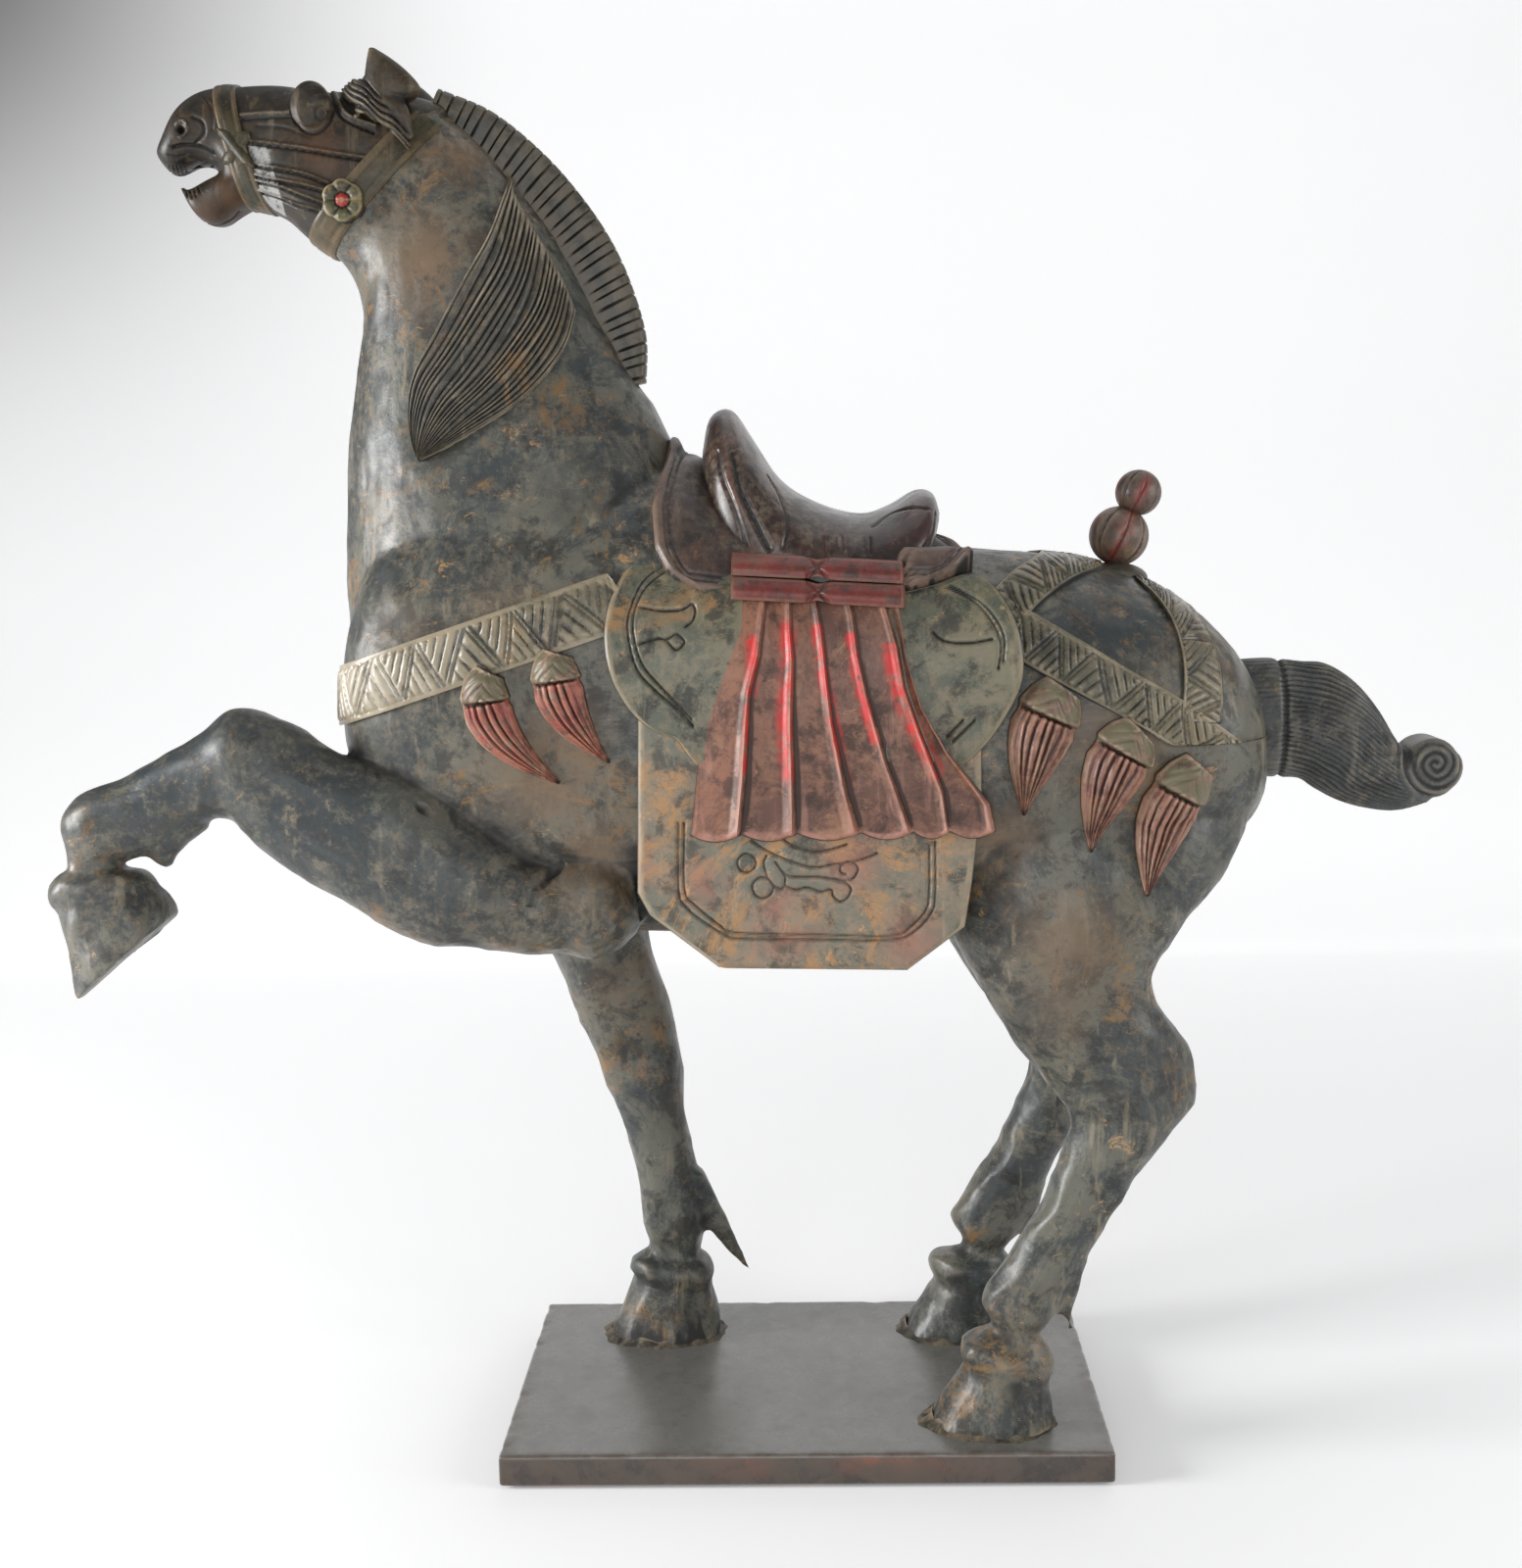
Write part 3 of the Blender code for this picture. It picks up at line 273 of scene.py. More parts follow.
def peak(x: Array, width: float) -> Array:
    """A bell curve of height 1 at x = 0."""
    return np.exp(-((x / width) ** 2))


def wave(turns: Array) -> Array:
    """A wave from 0 to 1 that peaks at each whole turn."""
    return 0.5 + 0.5 * np.cos(CIRCLE * turns)


def sphere(angle: Array, polar: Array) -> Array:
    """Places on a ball of radius 1, at angles round its z axis and from its pole."""
    flat = np.sin(polar)
    return np.stack([flat * np.cos(angle), flat * np.sin(angle), np.cos(polar) + 0 * angle], axis=-1)


def circle(count: int) -> Array:
    """Evenly spaced angles round a circle."""
    return np.linspace(0, CIRCLE, count, endpoint=False)


def ripple(points: Array, size: float, seed: int, waves: int = 14) -> Array:
    """A smooth, uneven field of about -1 to 1, for hand-worked surfaces.

    Args:
        points: Places in metres.
        size: Length of its undulations in metres.
        seed: Which field.
        waves: How many plane waves are added up.

    Returns:
        One value for each point.
    """
    rng = np.random.default_rng(seed)
    ways = unit(rng.normal(size=(waves, 3))) * (CIRCLE / size) * rng.uniform(0.6, 1.5, (waves, 1))
    return np.sin(points @ ways.T + rng.uniform(0, CIRCLE, waves)).sum(axis=-1) / math.sqrt(waves)


def show(name: str, data: bpy.types.ID) -> Piece:
    """A new object in the scene for a mesh, light or camera."""
    obj = bpy.data.objects.new(name, data)
    bpy.context.collection.objects.link(obj)
    return obj


def release(bm: bmesh.types.BMesh, mesh: bpy.types.Mesh) -> bpy.types.Mesh:
    """Writes an edited form to its mesh and frees it."""
    bm.to_mesh(mesh)
    bm.free()
    return mesh


class Mass:
    """Closed forms gathered into one lump of wood."""

    def __init__(self) -> None:
        """Starts with no wood."""
        self.bm = bmesh.new()

    def tube(self, rings: Array) -> None:
        """Adds a closed form from rings of points, with flat ends."""
        rows = [[self.bm.verts.new(p) for p in ring] for ring in rings]
        for lower, upper in zip(rows, rows[1:]):
            for k in range(len(lower)):
                n = (k + 1) % len(lower)
                self.bm.faces.new((lower[k], lower[n], upper[n], upper[k]))
        self.bm.faces.new(rows[0])
        self.bm.faces.new(rows[-1])

    def loft(self, rows: Rows, power: float = 2.2, points: int = 32, side: int = 1,
             shift: float = 0.0) -> None:
        """Adds a form through rows of outline pairs.

        Args:
            rows: The outline pairs.
            power: 2 for oval rings, more for boxier ones.
            points: Points round each ring.
            side: -1 mirrors the form in y.
            shift: Thousandths that it moves in x.
        """
        angle = circle(points)
        across, out = (np.sign(way) * np.abs(way) ** (2 / power) for way in (np.cos(angle), np.sin(angle)))
        rings = []
        for ax, az, bx, bz, y, half in smooth_rows(rows, 4):
            x = (ax + bx) / 2 + (bx - ax) / 2 * across + shift
            z = (az + bz) / 2 + (bz - az) / 2 * across
            rings.append(place(np.stack([x, side * y + half * out, z], axis=1)))
        self.tube(rings)

    def ball(self, centre: Sequence[float], radii: Sequence[float], around: int = 32,
             rings: int = 16) -> None:
        """Adds an ellipsoid.

        Args:
            centre: Its x, y, z in thousandths.
            radii: Its radii along x, y, z in thousandths.
            around: Points round each ring.
            rings: Rings from pole to pole.
        """
        polar = np.linspace(0.02, math.pi - 0.02, rings)
        angle = circle(around)[None]
        shape = sphere(angle, polar[:, None])
        self.tube(place(np.array(centre) + shape * np.array(radii)))

    def plain(self, name: str) -> Piece:
        """The gathered forms as they are, as a new object."""
        bmesh.ops.recalc_face_normals(self.bm, faces=self.bm.faces)
        return show(name, release(self.bm, bpy.data.meshes.new(name)))

    def fuse(self, name: str, voxel: float, spread: float) -> Piece:
        """Joins everything into one skin.

        Args:
            name: Name of the piece.
            voxel: Size of the remesh's cells in metres.
            spread: How far the joins are eased, in metres.

        Returns:
            The new object.
        """
        obj = self.plain(name)
        remesh = obj.modifiers.new("Remesh", "REMESH")
        remesh.mode = "VOXEL"
        remesh.voxel_size = voxel
        smooth = obj.modifiers.new("Smooth", "SMOOTH")
        smooth.factor = 0.5
        smooth.iterations = max(1, round((spread / voxel) ** 2))
        bake(obj)
        keep_largest(obj.data)
        return obj


def bake(obj: Piece) -> None:
    """Replaces the object's mesh by what its modifiers make."""
    bpy.context.view_layer.update()
    evaluated = obj.evaluated_get(bpy.context.evaluated_depsgraph_get())
    made = bpy.data.meshes.new_from_object(evaluated)
    obj.modifiers.clear()
    obj.data = made


def read(items: bpy.types.bpy_prop_collection, name: str, width: int, kind: type = np.float32) -> Array:
    """One property of a mesh's vertices or edges, as one row for each.

    Args:
        items: The vertices or edges.
        name: Name of the property.
        width: Numbers in each row.
        kind: The kind of number that Blender stores.

    Returns:
        The rows.
    """
    values = np.empty(len(items) * width, kind)
    items.foreach_get(name, values)
    return values.reshape(-1, width)


def edges_of(mesh: bpy.types.Mesh) -> Array:
    """Vertex pairs of the mesh's edges."""
    return read(mesh.edges, "vertices", 2, np.int32)


def points_of(mesh: bpy.types.Mesh) -> Array:
    """Vertex places of the mesh."""
    return read(mesh.vertices, "co", 3).astype(float)


def normals_of(mesh: bpy.types.Mesh) -> Array:
    """Vertex normals of the mesh."""
    return read(mesh.vertices, "normal", 3).astype(float)


def set_points(mesh: bpy.types.Mesh, points: Array) -> None:
    """Moves the mesh's vertices."""
    mesh.vertices.foreach_set("co", points.astype(np.float32).ravel())
    mesh.update()


def keep_largest(mesh: bpy.types.Mesh) -> None:
    """Drops specks of skin that a join leaves inside the form."""
    label = np.arange(len(mesh.vertices))
    a, b = edges_of(mesh).T
    while True:
        low = np.minimum(label[a], label[b])
        before = label.copy()
        np.minimum.at(label, a, low)
        np.minimum.at(label, b, low)
        label = label[label]
        if (label == before).all():
            break
    largest = np.bincount(label).argmax()
    if (label == largest).all():
        return
    bm = bmesh.new()
    bm.from_mesh(mesh)
    bm.verts.ensure_lookup_table()
    bmesh.ops.delete(bm, geom=[bm.verts[i] for i in np.flatnonzero(label != largest)], context="VERTS")
    release(bm, mesh)


def triangles_in(obj: Piece) -> int:
    """How many triangles the object's faces make."""
    return sum(len(p.vertices) - 2 for p in obj.data.polygons)


def thin_out(obj: Piece, triangles: int) -> None:
    """Reduces a dense skin to about that many triangles."""
    count = triangles_in(obj)
    if count > triangles:
        decimate = obj.modifiers.new("Decimate", "DECIMATE")
        decimate.ratio = triangles / count
        decimate.use_collapse_triangulate = True
        bake(obj)


def settle(values: Array, edges: Array, rounds: int) -> Array:
    """Averages values over neighbouring vertices, again and again.

    Args:
        values: One row for each vertex.
        edges: Vertex pairs.
        rounds: How often.

    Returns:
        The averaged values.
    """
    count = len(values)
    ends = np.concatenate([edges[:, 0], edges[:, 1]])
    others = np.concatenate([edges[:, 1], edges[:, 0]])
    share = np.maximum(np.bincount(ends, minlength=count), 1)
    for _ in range(rounds):
        mean = [np.bincount(ends, values[others, k], count) / share for k in range(values.shape[1])]
        values = 0.5 * values + 0.5 * np.stack(mean, axis=1)
    return values


def mark(obj: Piece, name: str, values: Array) -> None:
    """Stores one number for each vertex, for the finish to read.

    Args:
        obj: The piece.
        name: Name of the field.
        values: Numbers for its first vertices; the rest get 0.
    """
    layer = obj.data.attributes.get(name) or obj.data.attributes.new(name, "FLOAT", "POINT")
    full = np.zeros(len(obj.data.vertices), np.float32)
    values = np.clip(np.asarray(values, np.float32).ravel(), 0, 1)
    full[: len(values)] = values
    layer.data.foreach_set("value", full)


def mark_wear_and_shade(obj: Piece, depth: float = 0.0009, rounds: int = 14) -> None:
    """Marks proud edges as worn, and hollows for painted shade.

    Args:
        obj: The piece.
        depth: Height over the smoothed skin that counts as fully worn, in metres; hollows about half as deep get the
            full painted shade.
        rounds: Reach of the smoothing, in edges.
    """
    mesh = obj.data
    points, edges = points_of(mesh), edges_of(mesh)
    proud = ((points - settle(points, edges, rounds)) * normals_of(mesh)).sum(axis=1, keepdims=True)
    proud = settle(proud, edges, 2)[:, 0] / depth
    mark(obj, "worn", proud)
    # Painted shade: hollows below the smoothed skin are marked to be darkened in the finish.
    mark(obj, "hollow_shade", -1.8 * proud)


class Skin:
    """The outside of a finished form, to lay relief on."""

    def __init__(self, obj: Piece) -> None:
        """Reads the object's mesh."""
        mesh = obj.data
        self.tree = BVHTree.FromPolygons([v.co for v in mesh.vertices],
            [tuple(p.vertices) for p in mesh.polygons])

    def flank(self, x: Array, z: Array, side: Side, inside: float = 0.01) -> tuple[Array, Array]:
        """Casts rays along y onto one flank.

        Args:
            x: Places in metres.
            z: Places in metres.
            side: Which flank.
            inside: Depth in metres from which the nearest wood is taken where a ray misses.

        Returns:
            The points met and the normals there.
        """
        points, normals = [], []
        for px, pz in zip(x.ravel(), z.ravel()):
            hit, normal, *_ = self.tree.ray_cast(Vector((px, side.value, pz)), Vector((0, -side.value, 0)))
            if hit is None:
                hit, normal, *_ = self.tree.find_nearest(Vector((px, side.value * inside, pz)))
            points.append(hit)
            normals.append(normal)
        return tuple(np.array(rows, float).reshape(*x.shape, 3) for rows in (points, normals))


@dataclass(frozen=True)
class Sight:
    """The photograph's camera, solved from its perspective."""

    place: Spot = (0.0215, -1.7715, 0.8231)
    yaw: float = math.radians(-1.70)
    pitch: float = math.radians(7.98)
    roll: float = math.radians(1.15)
    focal: float = 2062.9
    frame: tuple[int, int] = (1553, 1600)

    def axes(self) -> tuple[Vector, Vector, Vector]:
        """Right, down and forward, as unit vectors."""
        cos_yaw, sin_yaw = math.cos(self.yaw), math.sin(self.yaw)
        forward = Vector((sin_yaw * math.cos(self.pitch), cos_yaw * math.cos(self.pitch),
            -math.sin(self.pitch)))
        level = Vector((cos_yaw, -sin_yaw, 0))
        under = forward.cross(level)
        right = math.cos(self.roll) * level + math.sin(self.roll) * under
        return right, -math.sin(self.roll) * level + math.cos(self.roll) * under, forward

    def ray(self, pixel: tuple[float, float]) -> Vector:
        """Direction of a pixel's sight line."""
        right, down, forward = self.axes()
        u = float(pixel[0] - self.frame[0] / 2) / self.focal
        v = float(pixel[1] - self.frame[1] / 2) / self.focal
        return (forward + u * right + v * down).normalized()

    def on(self, skin: Skin, pixels: Pixels) -> Array:
        """Where pixels' sight lines meet a skin; those that pass it by take its nearest point.

        Args:
            skin: The form looked at.
            pixels: Pixels of the photograph.

        Returns:
            One point for each pixel.
        """
        eye, found = Vector(self.place), []
        for pixel in pixels:
            way = self.ray(pixel)
            hit = skin.tree.ray_cast(eye, way)[0]
            if hit is None:
                hit = skin.tree.find_nearest(eye + way * -(eye.y / way.y))[0]
            found.append(hit)
        return np.array(found)

    def at_depth(self, pixels: Pixels, y: float) -> Array:
        """Where pixels' sight lines meet the upright plane at depth y."""
        eye = Vector(self.place)
        rays = [self.ray(p) for p in pixels]
        return np.array([eye + way * ((y - eye.y) / way.y) for way in rays])

    def pixels(self, points: Array) -> Array:
        """Where points show in the photograph, as pixels."""
        right, down, forward = (np.array(axis) for axis in self.axes())
        off = points - np.array(self.place)
        depth = off @ forward
        spots = np.stack([off @ right, off @ down], axis=1) / depth[:, None] * self.focal
        return spots + (self.frame[0] / 2, self.frame[1] / 2)


SIGHT = Sight()


def mirrored(points: Array) -> Array:
    """The same points, all on the near flank."""
    return np.stack([points[:, 0], -np.abs(points[:, 1]), points[:, 2]], axis=1)


def blots(obj: Piece, name: str, spots: Sequence[tuple[float, float, float, float]]) -> None:
    """Marks soft spots of a tint on both flanks.

    Args:
        obj: The piece.
        name: The field that holds the tint.
        spots: Pixel x, pixel y, radius in pixels and strength of each spot.
    """
    shown = SIGHT.pixels(mirrored(points_of(obj.data)))
    values = np.zeros(len(shown))
    for x, y, radius, strength in spots:
        away = np.hypot(shown[:, 0] - x, shown[:, 1] - y) / radius
        values = np.maximum(values, strength * (1 - ease(away)))
    mark(obj, name, values)


def streaks(obj: Piece, name: str, lines: Sequence[tuple[Pixels, float]]) -> None:
    """Marks soft streaks of a tint on both flanks.

    Args:
        obj: The piece.
        name: The field that holds the tint.
        lines: Each streak as a line of pixels and its half width in pixels.
    """
    shown = SIGHT.pixels(mirrored(points_of(obj.data)))
    values = np.zeros(len(shown))
    for line, width in lines:
        away = distance_to_line(shown, smooth_line(line, 12)) / width
        values = np.maximum(values, 1 - ease(away - 0.2))
    mark(obj, name, values)


def patch(obj: Piece, name: str, outline: Pixels) -> None:
    """Marks the inside of an outline, on the near flank.

    Args:
        obj: The piece.
        name: The field that holds the tint.
        outline: The outline's corners as pixels.
    """
    points = points_of(obj.data)
    shown = SIGHT.pixels(points)
    inside = np.zeros(len(shown), bool)
    for (ax, ay), (bx, by) in zip(outline, [*outline[1:], outline[0]]):
        crosses = (ay > shown[:, 1]) != (by > shown[:, 1])
        inside ^= crosses & (shown[:, 0] < (bx - ax) * (shown[:, 1] - ay) / (by - ay + 1e-9) + ax)
    mark(obj, name, inside & (points[:, 1] < 0))


@dataclass
class Cut:
    """A line cut into the wood, drawn by pixels of the photograph.

    A negative depth raises a ridge instead.
    """

    pixels: Pixels
    width: float = 0.0022
    depth: float = 0.0014


def cuts(width: float, depth: float, *lines: Pixels) -> tuple[Cut, ...]:
    """Lines cut with the same tool."""
    return tuple(Cut(line, width, depth) for line in lines)


def distance_to_line(points: Array, line: Array) -> Array:
    """Distance of each point from a line of joined segments.

    Args:
        points: The points.
        line: Ends of the segments, in order.

    Returns:
        One distance for each point.
    """
    best = np.full(len(points), 1e9)
    for a, b in zip(line, line[1:]):
        run = b - a
        t = np.clip((points - a) @ run / max(run @ run, 1e-12), 0, 1)
        best = np.minimum(best, np.linalg.norm(points - (a + t[:, None] * run), axis=1))
    return best


def carve(obj: Piece, lines: Sequence[Cut],
          sides: Sequence[Side] = (Side.NEAR, Side.FAR)) -> None:
    """Cuts lines into a piece, on the near flank and mirrored onto the far one.

    Args:
        obj: The piece.
        lines: The lines.
        sides: The flanks that get them.
    """
    skin = Skin(obj)
    mesh = obj.data
    points, normals = points_of(mesh), normals_of(mesh)
    sunk = np.zeros(len(points))
    for cut in lines:
        route = SIGHT.on(skin, smooth_line(cut.pixels, max(4, 5 * len(cut.pixels))))
        for side in sides:
            line = route * (1, side.value * Side.NEAR.value, 1)
            near = ((points > line.min(0) - cut.width) & (points < line.max(0) + cut.width)).all(axis=1)
            index = np.flatnonzero(near & (points[:, 1] * side.value > 0))
            depth = cut.depth * (1 - ease(distance_to_line(points[index], line) / cut.width))
            sunk[index] = np.where(np.abs(depth) > np.abs(sunk[index]), depth, sunk[index])
    set_points(mesh, points - normals * sunk[:, None])


def resample(grid: Array, rows: int, columns: int) -> Array:
    """Stretches a grid of places to more rows and columns, in straight steps.

    Args:
        grid: The places.
        rows: Rows wanted.
        columns: Columns wanted.

    Returns:
        The finer grid.
    """
    for axis, count in ((0, rows), (1, columns)):
        where = np.linspace(0, grid.shape[axis] - 1, count)
        low = np.minimum(where.astype(int), grid.shape[axis] - 2)
        part = (where - low).reshape((-1, 1, 1) if axis == 0 else (1, -1, 1))
        grid = np.take(grid, low, axis) * (1 - part) + np.take(grid, low + 1, axis) * part
    return grid


@dataclass
class Ground:
    """A grid of places on the wood, with the ways out of it."""

    points: Array
    ways: Array

    def finer(self, rows: int, columns: int) -> "Ground":
        """The same ground on a finer grid."""
        return Ground(resample(self.points, rows, columns), unit(resample(self.ways, rows, columns)))

    def size(self) -> tuple[int, int]:
        """Rows and columns of the grid."""
        return self.points.shape[0], self.points.shape[1]

    def turned(self, corners: Array) -> bool:
        """Whether faces over this ground, given by their four corners, look into the wood."""
        out = np.cross(corners[:, 2] - corners[:, 0], corners[:, 3] - corners[:, 1])
        return (out * self.ways[:-1, :-1].reshape(-1, 3)).sum() < 0

    def slab(self, name: str, height: Array, root: float = RELIEF_ROOT) -> Piece:
        """A closed slab over this ground, with a plain underside inside the wood.

        Args:
            name: Name of the piece.
            height: Metres over the ground for each grid point.
            root: Metres that the slab reaches into the wood.

        Returns:
            The new object.
        """
        rows, columns = self.size()
        index = np.arange(rows * columns).reshape(rows, columns)
        # The loop runs once round the grid's border, and the underside fans out from its middle
        loop = np.concatenate([index[0, :-1], index[:-1, -1], index[-1, :0:-1], index[:0:-1, 0]])
        outer = (self.points + self.ways * height[..., None]).reshape(-1, 3)
        inner = (self.points - self.ways * root).reshape(-1, 3)[loop]
        low = np.arange(len(loop)) + rows * columns
        walls = np.stack([np.roll(loop, -1), loop, low, np.roll(low, -1)], axis=-1)
        centre = rows * columns + len(loop)
        under = np.stack([np.roll(low, -1), low, np.full(len(low), centre)], axis=-1)
        faces = [*cells(index).tolist(), *walls.tolist(), *under.tolist()]
        if self.turned(outer[cells(index)]):
            faces = [face[::-1] for face in faces]
        return solid(name, np.concatenate([outer, inner, inner.mean(0, keepdims=True)]), faces)

    def collar(self, name: str, height: Array, root: float = RELIEF_ROOT) -> Piece:
        """A closed band over this ground, whose last row meets its first.

        Args:
            name: Name of the piece.
            height: Metres over the ground for each grid point.
            root: Metres that the band reaches into the wood.

        Returns:
            The new object.
        """
        rows, columns = self.size()
        outer = self.points + self.ways * height[..., None]
        inner = self.points - self.ways * root
        around = np.concatenate([outer, inner[:, ::-1]], axis=1)
        index = np.arange(rows * columns * 2).reshape(rows, columns * 2)
        index = np.concatenate([index, index[:, :1]], axis=1)
        faces = cells(np.concatenate([index, index[:1]]))
        if self.turned(around.reshape(-1, 3)[cells(index[:, :columns])]):
            faces = faces[:, ::-1]
        return solid(name, around.reshape(-1, 3), faces.tolist())


def facing(points: Array, side: Side) -> Ground:
    """Ground over a grid of places that all look straight out of one flank."""
    return Ground(points, np.broadcast_to((0.0, float(side.value), 0.0), points.shape).copy())


def cells(index: Array) -> Array:
    """Four-sided faces over a grid of vertex numbers."""
    a, b, c, d = index[:-1, :-1], index[1:, :-1], index[1:, 1:], index[:-1, 1:]
    return np.stack([a, b, c, d], axis=-1).reshape(-1, 4)


def solid(name: str, points: Array, faces: Sequence[Sequence[int]]) -> Piece:
    """A new object from points and faces.

    Args:
        name: Name of the piece.
        points: Vertex places.
        faces: Vertex numbers of each face.

    Returns:
        The new object.
    """
    mesh = bpy.data.meshes.new(name)
    mesh.from_pydata(points.tolist(), [], faces)
    return show(name, mesh)


def grain(side: Side, count: int) -> int:
    """Grid lines for a flank: the far one, carved more plainly, gets fewer."""
    return count if side is Side.NEAR else round(count * 0.6)


def rim(u: Array, v: Array, soft_u: float, soft_v: float) -> Array:
    """Falls from 1 to 0 at the edges of a unit square, over the given shares of it."""
    across = np.minimum(u, 1 - u) / soft_u if soft_u else np.ones_like(u)
    down = np.minimum(v, 1 - v) / soft_v if soft_v else np.ones_like(v)
    return np.sqrt(np.clip(np.minimum(across, down), 0, 1))


def square(rows: int, columns: int) -> tuple[Array, Array]:
    """Grids of u across and v down, from 0 to 1."""
    return np.meshgrid(np.linspace(0, 1, columns), np.linspace(0, 1, rows))


# Saddlery outlines in the side view, as x and z
SIDE_BOARD = ((-104, 575), (-109, 406), (-101, 390), (-53, 352), (76, 349), (116, 379), (121, 410),
    (128, 470), (128, 575))
FRONT_LOBE = (
    (-30, 654), (-78, 651), (-107, 634), (-122, 610), (-127, 584), (-123, 556), (-110, 532), (-94, 518),
    (-80, 513), (-62, 492), (-30, 492),
)
REAR_LOBE = (
    (60, 605), (95, 612), (122, 620), (137, 612), (150, 592), (156, 567), (154, 544), (140, 518),
    (125, 500),
    (110, 492), (60, 492),
)
BLANKET_FRONT = ((0.0, -84), (0.3, -89), (0.6, -95), (0.8, -92), (0.92, -82), (1.0, -60))
BLANKET_REAR = ((0.0, 98), (0.35, 118), (0.6, 127), (0.8, 125), (0.92, 112), (1.0, 84))
HAIR_FRONT = ((-197, 908), (-199, 890), (-208, 860), (-226, 828), (-247, 791), (-261, 767), (-266, 744),
    (-264, 720), (-258, 703))
HAIR_TOP = ((-197, 908), (-192, 889), (-176, 862), (-159, 829), (-150, 807))
HAIR_BACK = ((-150, 807), (-158, 776), (-184, 744), (-222, 720), (-258, 703))
# Tassels are cap, middle, tip and half width
FRONT_TASSELS = (((-206, 560), (-204, 522), (-161, 482), 17), ((-159, 572), (-156, 536), (-126, 496), 17))
REAR_TASSELS = (
    ((184, 542), (166, 505), (157, 455), 22), ((236, 512), (216, 480), (203, 428), 22),
    ((278, 487), (254, 448), (241, 397), 21),
)
TASSEL_SHAPE = (
    (0.0, 0.62), (0.12, 0.90), (0.25, 1.06), (0.29, 0.94), (0.4, 1.04), (0.55, 0.92), (0.72, 0.66),
    (0.88, 0.32), (1.0, 0.05),
)
BREECHING = (
    (118, 598, 16), (150, 581, 16), (186, 560, 16), (222, 539, 15), (258, 518, 15), (294, 494, 14),
    (323, 477, 13), (338, 468, 11),
)
CROUP_STRAPS = (
    ((140, 582, 15), (156, 602, 14), (178, 616, 12), (200, 623, 9), (226, 624, 5)),
    ((279, 515, 15), (282, 552, 14), (277, 580, 12), (266, 600, 9), (250, 614, 5)),
)


def along(points: Pixels, t: Array) -> Array:
    """Points at shares t of a polyline's length.

    Args:
        points: The polyline.
        t: Shares from 0 to 1.

    Returns:
        One x, z pair for each share.
    """
    line = np.array(points, float)
    steps = np.hypot(*np.diff(line, axis=0).T)
    reach = np.concatenate([[0.0], np.cumsum(steps)]) / steps.sum()
    return np.stack([np.interp(t, reach, line[:, 0]), np.interp(t, reach, line[:, 1])], axis=-1)


def tack_depth(z: Array) -> Array:
    """How far the saddlery stands from the middle plane at height z, in thousandths."""
    rise = np.clip((z - 520) / (672 - 520), 0, 1)
    return 132 * (1 - rise**2.4) ** (1 / 2.4)


